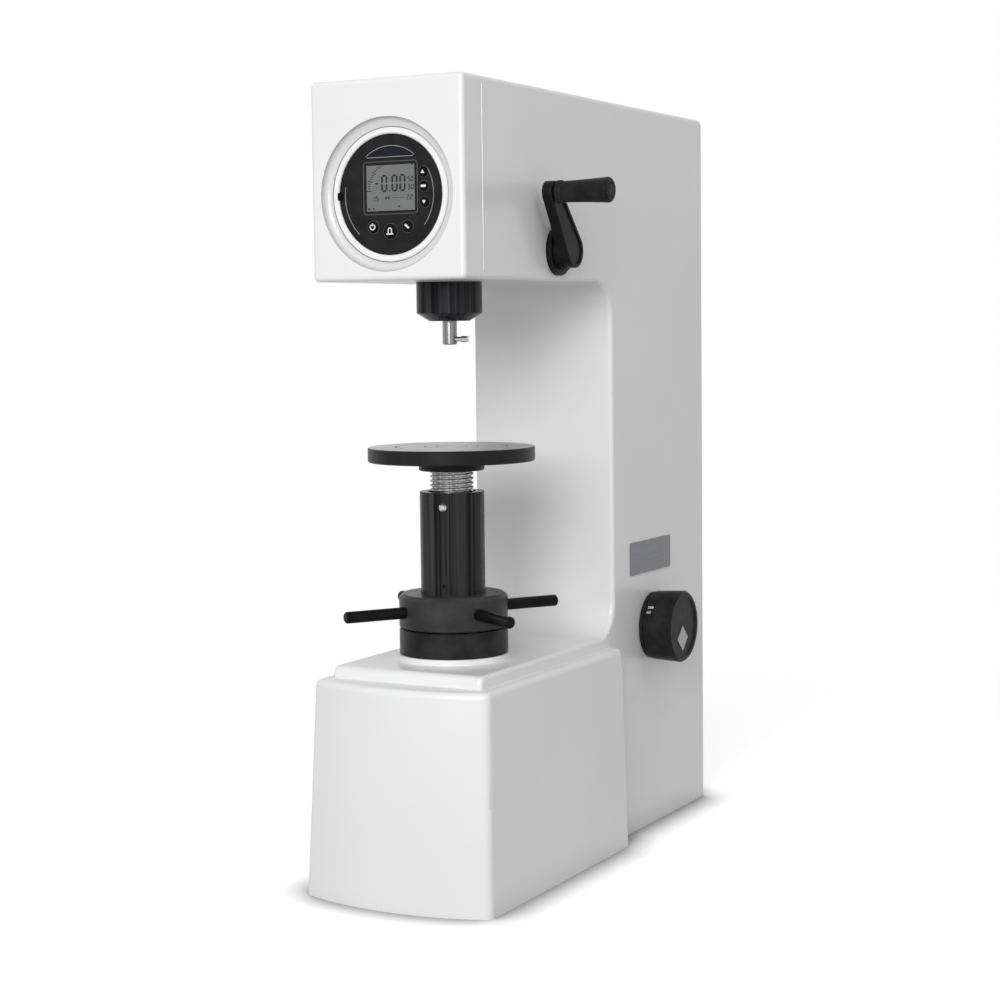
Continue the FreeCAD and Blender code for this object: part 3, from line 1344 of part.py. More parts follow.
def dashpot_piston():
    head = rod_z(DASHPOT_R - DASHPOT_WALL - PISTON_FIT, PISTON_BOTTOM, PISTON_BOTTOM + PISTON, 0, DASHPOT_Y)
    top = LEVER_BOTTOM - HANGER_FOOT
    rod = rod_z(DASHPOT_ROD_R, PISTON_BOTTOM, top + OVER, 0, DASHPOT_Y)
    return fuse_all([head, rod, clevis(DASHPOT_Y, top, CLEVIS_BASE, DASHPOT_PIN_R)])


# Indicator

def gauge_case():
    """Round case with a rear flange and the plunger's stem."""
    wall = GAUGE_FLANGE
    return turned_y([
        (PLUNGER_R + PLUNGER_FIT, GAUGE_STEM_END),
        (GAUGE_STEM_R, GAUGE_STEM_END),
        (GAUGE_STEM_R, GAUGE_BACK),
        (GAUGE_R, GAUGE_BACK),
        (GAUGE_R, SEAM + GAUGE_FLANGE),
        (GAUGE_FLANGE_R, SEAM + GAUGE_FLANGE),
        (GAUGE_FLANGE_R, SEAM),
        (GAUGE_R, SEAM),
        (GAUGE_R, BEZEL_BACK),
        (DIAL_R + SCREEN_GAP, BEZEL_BACK),
        (DIAL_R + SCREEN_GAP, DIAL_BACK),
        (GAUGE_LEDGE_R, DIAL_BACK),
        (GAUGE_LEDGE_R, GAUGE_BACK - wall),
        (PLUNGER_R + PLUNGER_FIT, GAUGE_BACK - wall),
    ], 0, GAUGE_Z)


def gauge_bezel():
    return turned_y([
        (BEZEL_R, BEZEL_FRONT + BEZEL_BEVEL),
        (BEZEL_R + BEZEL_BEVEL, BEZEL_FRONT),
        (GAUGE_R - BEZEL_BEVEL, BEZEL_FRONT),
        (GAUGE_R, BEZEL_FRONT + BEZEL_BEVEL),
        (GAUGE_R, BEZEL_BACK),
        (BEZEL_R, BEZEL_BACK),
    ], 0, GAUGE_Z)


def screen_window(grow, y0, y1):
    return box(SCREEN_LEFT - grow, SCREEN_RIGHT + grow, y0, y1, SCREEN_BOTTOM - grow, SCREEN_TOP + grow)


def gauge_face():
    face = rod_y(DIAL_R, DIAL_Y, DIAL_BACK, 0, GAUGE_Z)
    holes = [rod_y(r + KEY_CLEAR, DIAL_Y - OVER, DIAL_BACK + OVER, x, GAUGE_Z + z) for _, x, z, r in KEYS]
    return face.cut([screen_window(SCREEN_GAP, DIAL_Y - OVER, DIAL_BACK + OVER)] + holes)


def gauge_screen():
    """Display module behind the face, its glass standing in the window."""
    glass = screen_window(0, DIAL_Y + SCREEN_SET, DIAL_BACK + OVER)
    module = screen_window(SCREEN_BORDER, DIAL_BACK, BOARD_FRONT)
    return fuse_all([glass, module])


def gauge_board():
    return rod_y(GAUGE_LEDGE_R - SCREEN_GAP, BOARD_FRONT, BOARD_FRONT + BOARD_THICK, 0, GAUGE_Z)


def key_cap(x, z, radius):
    """Push key with a flange that keeps it behind the face."""
    top = DIAL_Y - KEY_PROUD
    start = DIAL_BACK + KEY_CLEAR
    return turned_y([
        (0, top),
        (radius - KEY_BEVEL, top),
        (radius, top + KEY_BEVEL),
        (radius, start),
        (radius + KEY_FLANGE, start),
        (radius + KEY_FLANGE, start + KEY_FLANGE_THICK),
        (0, start + KEY_FLANGE_THICK),
    ], x, z)


def gauge_plunger():
    front = GAUGE_BACK - GAUGE_FLANGE - PLUNGER_STOP
    rod = rod_y(PLUNGER_R, front, PLUNGER_TIP, 0, GAUGE_Z)
    stop = rod_y(PLUNGER_R + PLUNGER_STOP, front - PLUNGER_STOP, front, 0, GAUGE_Z)
    return rod.fuse(stop)


# Write every piece

write("frame_casting", frame_casting())
write("fascia", fascia())
write("top_cover", top_cover())
write("rear_cover", rear_cover())
write("base_plate", base_plate())
write_group("cover_screws", cover_screws())
write("label_plate", label_plate())

write("screw_flange", screw_flange())
write("screw_bush", screw_bush())
write("guide_key", guide_key())
write("thrust_race_lower", race(LOWER_RACE_BOTTOM))
write("thrust_race_upper", race(UPPER_RACE_BOTTOM))
write_group("thrust_rollers", thrust_rollers())
write("elevating_screw", elevating_screw())
write("anvil", anvil())

write("capstan_nut", capstan_nut())
write_group("capstan_bars", capstan_bars())
write("sleeve", sleeve())
write_group("sleeve_screws", sleeve_screws())

write("indenter_housing", indenter_housing())
write("spindle_bush", spindle_bush())
write("main_spindle", main_spindle())
write("thumb_screw", thumb_screw())
write_group("spindle_spring", spindle_spring())

write("fulcrum_bracket", fulcrum_bracket())
write_group("bracket_pins", bracket_pins())
write("load_lever", load_lever())
write_group("spindle_knife", spindle_knife())
write("measuring_lever", measuring_lever())

write("crank_flange", crank_flange())
write_group("shaft_bushes", crank_bushes() + selector_bushes())
write("crank_shaft", crank_shaft())
write("crank_arm", crank_arm())
write("grip_pin", grip_pin())
write("crank_grip", crank_grip())

write("selector_shaft", selector_shaft())
write("selector_knob", selector_knob())
write("detent_ball", detent_ball())
write("detent_spring", detent_spring())
write("lift_guide", lift_guide())
write("lifting_fork", lifting_fork())

write("hanger_rod", hanger_rod())
stack = WEIGHT_BOTTOM
for name, height in zip(("weight_lower", "weight_middle", "weight_upper"), WEIGHT_HEIGHTS):
    write(name, weight(stack, height))
    stack += height
write("dashpot_cylinder", dashpot_cylinder())
write("dashpot_cap", dashpot_cap())
write("dashpot_piston", dashpot_piston())

write("gauge_case", gauge_case())
write("gauge_bezel", gauge_bezel())
write("gauge_face", gauge_face())
write("gauge_screen", gauge_screen())
write("gauge_board", gauge_board())
write("gauge_plunger", gauge_plunger())
for name, x, z, radius in KEYS:
    write(name, key_cap(x, GAUGE_Z + z, radius))
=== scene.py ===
import math

import bmesh
import bpy
from mathutils import Matrix, Vector


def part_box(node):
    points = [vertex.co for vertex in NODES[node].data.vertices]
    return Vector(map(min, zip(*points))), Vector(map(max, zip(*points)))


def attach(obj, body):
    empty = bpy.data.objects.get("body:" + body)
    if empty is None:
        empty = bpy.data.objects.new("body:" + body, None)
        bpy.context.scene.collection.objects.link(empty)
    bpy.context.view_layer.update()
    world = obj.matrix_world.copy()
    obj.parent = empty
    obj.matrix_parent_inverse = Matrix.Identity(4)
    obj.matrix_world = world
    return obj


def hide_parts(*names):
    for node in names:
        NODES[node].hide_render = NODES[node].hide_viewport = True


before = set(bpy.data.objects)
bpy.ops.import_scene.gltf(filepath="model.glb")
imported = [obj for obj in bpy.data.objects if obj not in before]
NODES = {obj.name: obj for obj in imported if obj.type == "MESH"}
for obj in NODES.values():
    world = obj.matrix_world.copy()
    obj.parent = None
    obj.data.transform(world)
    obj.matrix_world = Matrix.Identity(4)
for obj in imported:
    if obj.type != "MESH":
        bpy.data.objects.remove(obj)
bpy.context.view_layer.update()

# Bench hardness tester. Lengths are in metres, and MM turns millimetres into metres.

MM = 0.001

# Points nearer than WELD are one, and edges that turn more than these degrees stay sharp
WELD = 0.001 * MM
SAME_SHAPE = 0.01 * MM
SHARP = 35.0
SHARP_THREAD = 25.0
SHARP_ROUNDED = 60.0

# Camera at the photograph's angle
SENSOR = 36.0
LENS = 74.36
CAMERA_PLACE = Vector((0.9164, -1.6059, 0.5014))
AZIMUTH = math.radians(28.377)
PITCH = math.radians(4.842)
ROLL = math.radians(-0.696)

# Soft lamps: name, place, what each looks at, width, height and power in watts
SOFTBOXES = (
    ("key_light", (0.64, -2.40, 1.22), (0.0, 0.0, 0.46), 1.4, 1.2, 45.0),
    ("side_light", (1.30, -0.30, 2.10), (0.07, 0.15, 0.68), 0.9, 0.9, 3.5),
)

# World and floor. FLOOR_BOUNCE is the floor's grey for the light that it throws back at the object.
# Where CONTACT_OPEN of a point's surroundings or less are open, the floor is as dark as CONTACT_SHADE,
# and the shadow on it fades out between the two radii of SHADOW_REACH.
AMBIENT = 0.47
WHITE = 1.0
FLOOR_SIZE = 14.0
FLOOR_BOUNCE = 0.46
FLOOR_GLOW = 0.42
CONTACT_REACH = 45.0 * MM
CONTACT_SHADE = 0.10
CONTACT_OPEN = 0.40
SHADOW_REACH = (0.55, 1.3)

# Thread of the elevating screw. The profile is (share of the pitch, share of the depth).
THREAD_PITCH = 4.0 * MM
THREAD_DEPTH = 1.9 * MM
THREAD_STEPS = 48
THREAD_PROFILE = ((0.0, 0.0), (0.36, 0.0), (0.56, 1.0), (0.80, 1.0))
KEYWAY_HALF = 3.1 * MM
KEYWAY_DEPTH = 3.7 * MM
KEYWAY_TOP = 210.0 * MM

# Socket screws of the covers. A head is found as the points farther out than HEAD_SHARE of its half width.
HEX = 6
ROUND = 0
HEAD_SHARE = 0.9
HEAD_TOLERANCE = 0.1 * MM
SOCKET_HALF = 1.5 * MM
SOCKET_DEPTH = 1.3 * MM
SOCKET_RIM = 0.2 * MM
SOCKET_FLARE = 0.25 * MM
HEAD_CROWN = 0.5 * MM
SHANK_R = 2.5 * MM
SHANK_POINT = 0.8 * MM
SCREW_STEPS = 24

# Rolled edge of the housing at the front cover's seam. It stops short of the cover's corners and
# rises over SEAM_RUN_IN; the profile is (way back from the seam, height), both in beads.
SEAM_BEAD = 0.7 * MM
SEAM_END = 6.0 * MM
SEAM_RUN_IN = 3.0 * MM
SEAM_END_LIFT = 0.05
SEAM_PROFILE = ((0.0, 0.0), (0.25, 0.8), (0.9, 1.0), (2.2, 0.7), (4.5, 0.0))

# Indicator. An arc is (radius, first angle, last angle, points), in degrees from +X towards +Z,
# and the profile of a raised line is (share of its half width, share of its height).
DIAL_Y = -97.5 * MM
DIAL_CENTRE = Vector((0.0, DIAL_Y, 612.5 * MM))
LINE_WIDTH = 0.6 * MM
LINE_HEIGHT = 0.16 * MM
LINE_PROFILE = ((-1.0, 0.0), (-0.6, 0.75), (0.0, 1.0), (0.6, 0.75), (1.0, 0.0))
BORDER_WIDTH = 1.6 * LINE_WIDTH
RING_WIDTH = 0.8 * LINE_WIDTH
PRINT = 0.05 * MM
PANEL_ARCS = ((45.3 * MM, 170.0, 226.0, 40), (42.0 * MM, 29.0, -39.0, 50))
LATCH_HALF = 3.2 * MM
LATCH_REACH = (47.5 * MM, 51.6 * MM)
LATCH_ROUND = 1.0 * MM
LATCH_PROUD = 0.3 * MM
BADGE_R = 38.5 * MM
BADGE_CREST = 41.0 * MM
BADGE_BOTTOM = 31.6 * MM
BADGE_HALF = 23.5 * MM
BADGE_CORNER = 1.2 * MM
BADGE_STEPS = 25
BORDER_GAP = -0.2 * MM
BORDER_ROUND = 3.0 * MM

# Key caps: radius of each, thickness, and profile as (share of the radius, share of the thickness).
# The marks on them lie MARK_DEPTH in front of the key, and KEY_RING_GAP is between a cap and its ring.
CAP_RADII = {
    "key_lower_left": 4.6 * MM, "key_lower_middle": 6.0 * MM, "key_lower_right": 4.6 * MM,
    "key_side_top": 4.0 * MM, "key_side_middle": 4.0 * MM, "key_side_bottom": 4.0 * MM,
}
CAP_THICK = 0.45 * MM
CAP_PROFILE = ((1.0, 1.0), (1.0, 0.5), (0.95, 0.12), (0.88, 0.0), (0.80, 0.30), (0.40, 0.12))
CAP_STEPS = 24
MARK_DEPTH = 0.9 * CAP_THICK
MARK_STROKE = 1.0 * MM
ARROW_HALF = 1.9 * MM
ARROW_FOOT = 1.3 * MM
ARROW_TIP = 1.7 * MM
PILL_HALF_LENGTH = 2.6 * MM
PILL_HALF = 1.0 * MM
PILL_ROUND = 0.95 * MM
RING_MARK_ARC = (2.3 * MM, 60.0, -240.0, 28)
RING_MARK_STROKE = (0.9 * MM, 0.9 * MM, 2.1 * MM)
ARCH_HALF = 1.7 * MM
ARCH_SPRING = 1.1 * MM
ARCH_STEPS = 14
ARCH_BASE = (6.8 * MM, 1.0 * MM)
SLASH_RUN = 1.9 * MM
SLASH_FALL = 1.6 * MM
SLASH_STROKE = 1.7 * MM
KEY_RING_GAP = 0.9 * MM
KEY_RING_STEPS = 32

# Segments lit in each figure: a on top, then b to f clockwise, and g in the middle. The gap between
# two segments is a share of their thickness.
SEGMENTS = {"0": "abcdef", "1": "bc", "2": "abged", "3": "abgcd", "5": "afgcd"}
SEGMENT_GAP = 0.12

# Display, all in shares of its width and height. A figure is (width, height, thickness of a segment),
# a block is (left, bottom, width, height), and a tick is (inner radius, outer radius).
READING_FIGURE = (0.082, 0.29, 0.034)
READING_PLACES = ((0.345, 0.44), (0.535, 0.44), (0.68, 0.44))
SMALL_FIGURE = (0.036, 0.085, 0.016)
SMALL_STEP = 0.062
SMALL_NUMBERS = (("50", 0.82, 0.61), ("30", 0.82, 0.46), ("22", 0.80, 0.27), ("15", 0.17, 0.26))
BLOCKS = (
    (0.22, 0.5705, 0.05, 0.030), (0.475, 0.428, 0.024, 0.030),
    (0.40, 0.285, 0.032, 0.05), (0.45, 0.285, 0.032, 0.05),
    *((0.545 + 0.036 * step, 0.30, 0.020, 0.014) for step in range(6)),
    (0.08, 0.09, 0.03, 0.04), (0.17, 0.09, 0.03, 0.04), (0.64, 0.12, 0.03, 0.04), (0.89, 0.91, 0.03, 0.04),
)
TICKS = 15
TICKS_TO_A_LONG_ONE = 4
TICK_FIRST = math.radians(182.0)
TICK_SWEEP = math.radians(72.0)
TICK_CENTRE = (0.52, 0.47)
TICK_SHORT = (0.40, 0.44)
TICK_LONG = (0.38, 0.46)
TICK_HALF = 0.007
TICK_CEILING = 0.98

# Selector knob
KNOB_AXIS = Vector((0.0, 269.0 * MM, 201.0 * MM))
KNOB_SKIRT_IN = 80.2 * MM
KNOB_SKIRT_OUT = 108.0 * MM
KNOB_R_IN = 34.0 * MM
KNOB_R_OUT = 35.5 * MM
KNOB_FACE_X = 108.4 * MM
KNOB_NUMBERS = (("588", "60"), ("980", "100"), ("1471", "150"))
KNOB_FIRST_ANGLE = math.radians(149.0)
KNOB_STEP = math.radians(120.0)
NUMBER_SIZE = 4.2 * MM
NUMBER_LINE = 5.4 * MM
NUMBER_X = 82.6 * MM
NUMBER_FACET = 0.8 * MM
LOZENGE_CENTRE = Vector((KNOB_FACE_X, 267.0 * MM, 189.5 * MM))
LOZENGE_HALF = 12.6 * MM
LOZENGE_THICK = 0.9 * MM
LOZENGE_PROFILE = ((1.0, 0.0), (1.0, 0.7), (0.96, 1.0))


# Materials. Colours are linear, most of them in pairs that a mottle mixes.

ENAMEL = ((0.805, 0.806, 0.808), (0.762, 0.763, 0.764))
# The next grey is painted shade: the enamel deep in a hollow, out to HOLLOW_REACH.
PAINTED_HOLLOW_SHADE = (0.22, 0.22, 0.225)
ENAMEL_WORN = (0.62, 0.62, 0.60)
HOLLOW_REACH = 40.0 * MM
EDGE_WEAR = 1.2 * MM
LACQUER = ((0.86, 0.86, 0.86), (0.80, 0.80, 0.80))
RUBBED = (0.115, 0.115, 0.12)
EDGE_RUB = 0.7 * MM
STEEL_MOTTLE = 0.14
ANVIL_GROUND = ((0.44, 0.44, 0.45), (0.34, 0.34, 0.35))
ANVIL_BLACK = ((0.006, 0.006, 0.007), (0.016, 0.016, 0.017))
SCREW_BLACK = (0.006, 0.006, 0.007)
SCREW_BRIGHT = (0.46, 0.46, 0.47)
SCREW_FADE = 5.0 * MM
ANODISED = ((0.168, 0.170, 0.186), (0.200, 0.203, 0.219))
DISPLAY_GREY = ((0.150, 0.155, 0.152), (0.172, 0.177, 0.173))


def new_node(tree, kind, fed_by=(), **values):
    """A node whose first inputs are fed by the given outputs.

    values are for other inputs, by name, with _ for a space."""
    made = tree.nodes.new(kind)
    for socket, output in zip(made.inputs, fed_by):
        tree.links.new(output, socket)
    for name, value in values.items():
        made.inputs[name.replace("_", " ")].default_value = value
    return made


def grey(level):
    return level, level, level, 1.0


class Look:
    """A material in the making: one principled shader and the nodes that feed it."""

    def __init__(self, name, metallic=0.0, coat=0.0, coat_roughness=0.1, specular=0.5):
        self.material = bpy.data.materials.new(name)
        self.material.use_nodes = True
        self.tree = self.material.node_tree
        self.shader = self.tree.nodes["Principled BSDF"]
        self.shader.inputs["Metallic"].default_value = metallic
        self.shader.inputs["Coat Weight"].default_value = coat
        self.shader.inputs["Coat Roughness"].default_value = coat_roughness
        self.shader.inputs["Specular IOR Level"].default_value = specular

    def node(self, kind, *fed_by, **values):
        return new_node(self.tree, kind, fed_by, **values)

    def join(self, output, socket):
        self.tree.links.new(output, socket)

    def place(self, stretch=(1, 1, 1), shift=(0, 0, 0)):
        """Coordinates of the part's own frame, shifted and then stretched."""
        source = self.node("ShaderNodeTexCoord")
        moved = self.node("ShaderNodeVectorMath", source.outputs["Object"])
        moved.operation = "SUBTRACT"
        moved.inputs[1].default_value = shift
        mapping = self.node("ShaderNodeMapping", moved.outputs[0], Scale=stretch)
        return mapping.outputs["Vector"]

    def height(self):
        """Height above the floor."""
        return self.node("ShaderNodeSeparateXYZ", self.place()).outputs["Z"]

    def noise(self, scale, detail=3.0, stretch=(1, 1, 1)):
        return self.node("ShaderNodeTexNoise", self.place(stretch), Scale=scale, Detail=detail).outputs[0]

    def cloud(self, scale, detail=4.0, start=0.35, end=0.7):
        """A soft mottle from 0 to 1."""
        return self.spread(self.noise(scale, detail), 0.0, 1.0, start, end)

    def streaks(self, around, along):
        """Long streaks along Z, with around and along streaks to the metre, for painted reflection streaks.
        """
        return self.spread(self.noise(1.0, 3.0, stretch=(around, around, along)), 0.0, 1.0, 0.36, 0.66)

    def recess(self, reach, deepest, open_air):
        """Ambient occlusion mask for painted shade: 0 deep in a hollow, 1 on open surfaces."""
        hollow = self.node("ShaderNodeAmbientOcclusion", Distance=reach)
        hollow.samples = 8
        return self.spread(hollow.outputs["AO"], 0.0, 1.0, deepest, open_air)

    def rings(self, axis, scale, shift=(0, 0, 0), distortion=0.6):
        """Fine turning marks round an axis."""
        texture = self.node("ShaderNodeTexWave", self.place(shift=shift),
                            Scale=scale, Distortion=distortion)
        texture.wave_type = "RINGS"
        texture.rings_direction = axis
        return texture.outputs["Fac"]

    def spread(self, value, low, high, start=0.0, end=1.0):
        """value, from start to end, mapped to low to high."""
        return self.node("ShaderNodeMapRange", value,
                         From_Min=start, From_Max=end, To_Min=low, To_Max=high).outputs[0]

    def times(self, first, second):
        product = self.node("ShaderNodeMath", first, second)
        product.operation = "MULTIPLY"
        return product.outputs[0]

    def blend(self, factor, first, second):
        """A colour between first and second; each is a colour or an output."""
        mix = self.node("ShaderNodeMix")
        mix.data_type = "RGBA"
        self.join(factor, mix.inputs[0])
        for socket, colour in ((mix.inputs[6], first), (mix.inputs[7], second)):
            if isinstance(colour, tuple):
                socket.default_value = (*colour, 1.0)
            else:
                self.join(colour, socket)
        return mix.outputs[2]

    def edges(self, radius, start, end):
        """1 on convex and concave edges, 0 on flat stretches."""
        rounded = self.node("ShaderNodeBevel", Radius=radius)
        rounded.samples = 4
        plain = self.node("ShaderNodeNewGeometry")
        turn = self.node("ShaderNodeVectorMath", rounded.outputs["Normal"], plain.outputs["Normal"])
        turn.operation = "DOT_PRODUCT"
        return self.spread(turn.outputs["Value"], 1.0, 0.0, 1.0 - end, 1.0 - start)

    def colour(self, output):
        self.join(output, self.shader.inputs["Base Color"])

    def roughness(self, output):
        self.join(output, self.shader.inputs["Roughness"])

    def metallic(self, output):
        self.join(output, self.shader.inputs["Metallic"])

    def bump(self, *layers):
        """Bump layers, each (height, strength, distance)."""
        normal = None
        for height, strength, distance in layers:
            made = self.node("ShaderNodeBump", Strength=strength, Distance=distance)
            self.join(height, made.inputs["Height"])
            if normal is not None:
                self.join(normal, made.inputs["Normal"])
            normal = made.outputs["Normal"]
        self.join(normal, self.shader.inputs["Normal"])


def paint(name, painted_shade_in_hollows=False):
    """White enamel sprayed over filled iron: a light orange peel and a faint mottle.

    Where it is asked for, shade is painted into the enamel: it turns greyer deep in a hollow."""
    look = Look(name, coat=0.3, coat_roughness=0.16)
    base = look.blend(look.cloud(5.0, end=0.68), *ENAMEL)
    if painted_shade_in_hollows:
        # Painted shade: the enamel greys where ambient occlusion finds a hollow.
        base = look.blend(look.recess(HOLLOW_REACH, 0.45, 1.0), PAINTED_HOLLOW_SHADE, base)
    patches = look.spread(look.noise(60.0, 5.0), 0.0, 0.35, 0.5, 0.7)
    worn = look.times(look.edges(EDGE_WEAR, 0.02, 0.4), patches)
    look.colour(look.blend(worn, base, ENAMEL_WORN))
    look.roughness(look.spread(look.noise(35.0, 4.0), 0.33, 0.45))
    look.bump((look.noise(520.0, 2.0), 0.10, 0.25 * MM), (look.noise(28.0, 2.0), 0.05, 0.6 * MM))
    return look.material


def glossy_white():
    """White lacquered ring, smoother than the housing's paint."""
    look = Look("ring_white", coat=0.4, coat_roughness=0.06)
    look.colour(look.blend(look.cloud(30.0, 3.0, start=0.3), *LACQUER))
    look.roughness(look.spread(look.noise(120.0, 4.0), 0.18, 0.28))
    look.bump((look.noise(400.0, 2.0), 0.04, 0.1 * MM))
    return look.material


def blackened(name, dark, light, rough, axis="Z", shift=(0, 0, 0), reflection_streaks=False, marks=0.05):
    """Turned and blackened steel with turning marks, its edges rubbed brighter.

    Where it is asked for, the lighter tone lies in painted reflection streaks along Z and not in clouds."""
    look = Look(name, metallic=0.04, specular=0.07)
    # Painted reflection streaks, where asked for: the light tone in streaks along Z.
    base = look.blend(look.streaks(300.0, 3.0) if reflection_streaks else look.cloud(45.0, 5.0), dark, light)
    patches = look.spread(look.noise(150.0, 4.0), 0.1, 0.8, 0.42, 0.62)
    rubbed = look.times(look.edges(EDGE_RUB, 0.05, 0.5), patches)
    look.colour(look.blend(rubbed, base, RUBBED))
    look.roughness(look.spread(look.noise(80.0, 4.0), rough - 0.05, rough + 0.09))
    look.bump((look.rings(axis, 420.0, shift), marks, 0.05 * MM), (look.noise(300.0, 3.0), 0.05, 0.08 * MM))
    return look.material


def bright_steel(name, shade, rough, axis="Z", shift=(0, 0, 0), marks=0.12, reflection_streaks=0.0):
    """Ground or polished steel with fine marks round its axis.

    The streak argument says how much darker the painted reflection streaks along Z are; at 0 there are
    faint clouds instead."""
    look = Look(name, metallic=1.0)
    darker = tuple(value * (1.0 - max(STEEL_MOTTLE, reflection_streaks)) for value in shade)
    # Painted reflection streaks along Z, where asked for.
    look.colour(look.blend(look.streaks(260.0, 4.0) if reflection_streaks else look.cloud(30.0), shade, darker))
    look.roughness(look.spread(look.noise(90.0, 5.0), rough - 0.05, rough + 0.10))
    look.bump((look.rings(axis, 700.0, shift), marks, 0.03 * MM))
    return look.material


def anvil_steel():
    """Top face ground bright in circles, flank, underside and ring grooves left black."""
    look = Look("anvil_steel", metallic=1.0, specular=0.14)
    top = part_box("anvil")[1].z
    ground = look.spread(look.height(), 0.0, 1.0, top - 0.3 * MM, top - 0.1 * MM)
    bright = look.blend(look.noise(40.0, 4.0), *ANVIL_GROUND)
    black = look.blend(look.noise(60.0, 4.0), *ANVIL_BLACK)
    look.colour(look.blend(ground, black, bright))
    look.metallic(look.spread(ground, 0.10, 1.0))
    look.roughness(look.spread(look.noise(120.0, 4.0), 0.34, 0.46))
    look.bump((look.rings("Z", 900.0), 0.20, 0.04 * MM), (look.noise(240.0, 3.0), 0.05, 0.06 * MM))
    return look.material


def sleeve_screw_steel():
    """Bright round head above, and a blackened set screw low on the sleeve."""
    look = Look("sleeve_screw_steel", metallic=0.8)
    low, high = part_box("sleeve_screws")
    middle = (low.z + high.z) / 2.0
    upper = look.spread(look.height(), 0.0, 1.0, middle - SCREW_FADE, middle + SCREW_FADE)
    look.colour(look.blend(upper, SCREW_BLACK, SCREW_BRIGHT))
    look.roughness(look.spread(look.noise(300.0, 3.0), 0.24, 0.36))
    look.bump((look.noise(600.0, 3.0), 0.06, 0.04 * MM))
    return look.material


def moulded(name, dark, light, rough, grain=900.0, relief=0.10, specular=0.05):
    """Moulded plastic with a fine spark-eroded grain."""
    look = Look(name, specular=specular)
    look.colour(look.blend(look.cloud(70.0), dark, light))
    look.roughness(look.spread(look.noise(130.0, 4.0), rough - 0.05, rough + 0.08))
    look.bump((look.noise(grain, 2.0), relief, 0.08 * MM))
    return look.material


def cast_iron(name, dark, light, rough):
    """Bare iron with the skin of its casting."""
    look = Look(name, metallic=0.7)
    look.colour(look.blend(look.cloud(55.0, 6.0, start=0.3), dark, light))
    look.roughness(look.spread(look.noise(180.0, 5.0), rough - 0.06, rough + 0.10))
    look.bump((look.noise(420.0, 4.0), 0.25, 0.15 * MM))
    return look.material


def brushed_plate():
    """Grey anodised aluminium, brushed lengthwise."""
    look = Look("plate_grey", metallic=0.35)
    strokes = look.noise(900.0, 3.0, stretch=(1.0, 0.03, 1.0))
    tone = look.spread(strokes, 0.0, 1.0, 0.35, 0.65)
    look.colour(look.blend(tone, *ANODISED))
    look.roughness(look.spread(strokes, 0.34, 0.50))
    look.bump((strokes, 0.08, 0.04 * MM))
    return look.material


def liquid_crystal():
    """Grey reflective display behind a clear window."""
    look = Look("display_grey", specular=0.25)
    look.colour(look.blend(look.cloud(40.0, 3.0), *DISPLAY_GREY))
    look.roughness(look.spread(look.noise(900.0, 2.0), 0.42, 0.55))
    look.bump((look.noise(1500.0, 1.0), 0.03, 0.02 * MM))
    return look.material


def printed(name, colour, worn):
    """Printed or filled marks, with a slightly uneven edge to the ink."""
    look = Look(name, specular=0.3)
    look.colour(look.blend(look.cloud(700.0, 3.0, 0.5, 0.75), colour, worn))
    look.roughness(look.spread(look.noise(400.0, 3.0), 0.45, 0.62))
    look.bump((look.noise(1200.0, 2.0), 0.06, 0.03 * MM))
    return look.material


LOOKS = {
    "paint": paint("enamel_white"),
    "base_steel": bright_steel("zinc_sheet", (0.42, 0.43, 0.44), 0.42, marks=0.03),
    "fastener": bright_steel("fastener_zinc", (0.52, 0.53, 0.54), 0.26, marks=0.04),
    "plate": brushed_plate(),
    "black_steel": blackened("blackened_steel", (0.030, 0.030, 0.031), (0.052, 0.052, 0.054), 0.32),
    "ground_steel": bright_steel("ground_steel", (0.44, 0.445, 0.45), 0.18),
    "anvil_steel": anvil_steel(),
    "bearing_steel": bright_steel("bearing_steel", (0.60, 0.61, 0.62), 0.14, marks=0.04),
    "bronze": bright_steel("bearing_bronze", (0.62, 0.40, 0.20), 0.30),
    "lever_iron": cast_iron("lever_iron", (0.090, 0.092, 0.095), (0.150, 0.152, 0.156), 0.50),
    "crank_metal": blackened("crank_black", (0.006, 0.006, 0.007), (0.013, 0.013, 0.014), 0.30, "X",
                             marks=0.03),
    "handle_plastic": moulded("handle_black", (0.013, 0.013, 0.014), (0.026, 0.026, 0.027), 0.32),
    "gauge_plastic": moulded("gauge_black", (0.014, 0.014, 0.015), (0.021, 0.021, 0.022), 0.48,
                             1100.0, 0.16),
    "bezel": glossy_white(),
    "screen": liquid_crystal(),
    "board": moulded("circuit_board", (0.015, 0.10, 0.045), (0.02, 0.14, 0.06), 0.45),
    "key_rubber": moulded("key_rubber", (0.004, 0.004, 0.005), (0.008, 0.008, 0.009), 0.40,
                          1200.0, 0.06),
}
WHITE_PRINT = printed("print_white", (0.78, 0.78, 0.77), (0.60, 0.60, 0.59))
DARK_PRINT = printed("print_dark", (0.010, 0.010, 0.011), (0.020, 0.020, 0.021))
GREY_LINE = printed("line_grey", (0.30, 0.30, 0.31), (0.20, 0.20, 0.21))
SILVER_PLATE = bright_steel("lozenge_aluminium", (0.31, 0.31, 0.325), 0.40, "X", LOZENGE_CENTRE)
BADGE_FIELD = moulded("badge_field", (0.012, 0.012, 0.018), (0.018, 0.018, 0.026), 0.38, 500.0, 0.04)
DIM_LINE = printed("line_dim", (0.060, 0.060, 0.062), (0.036, 0.036, 0.038))

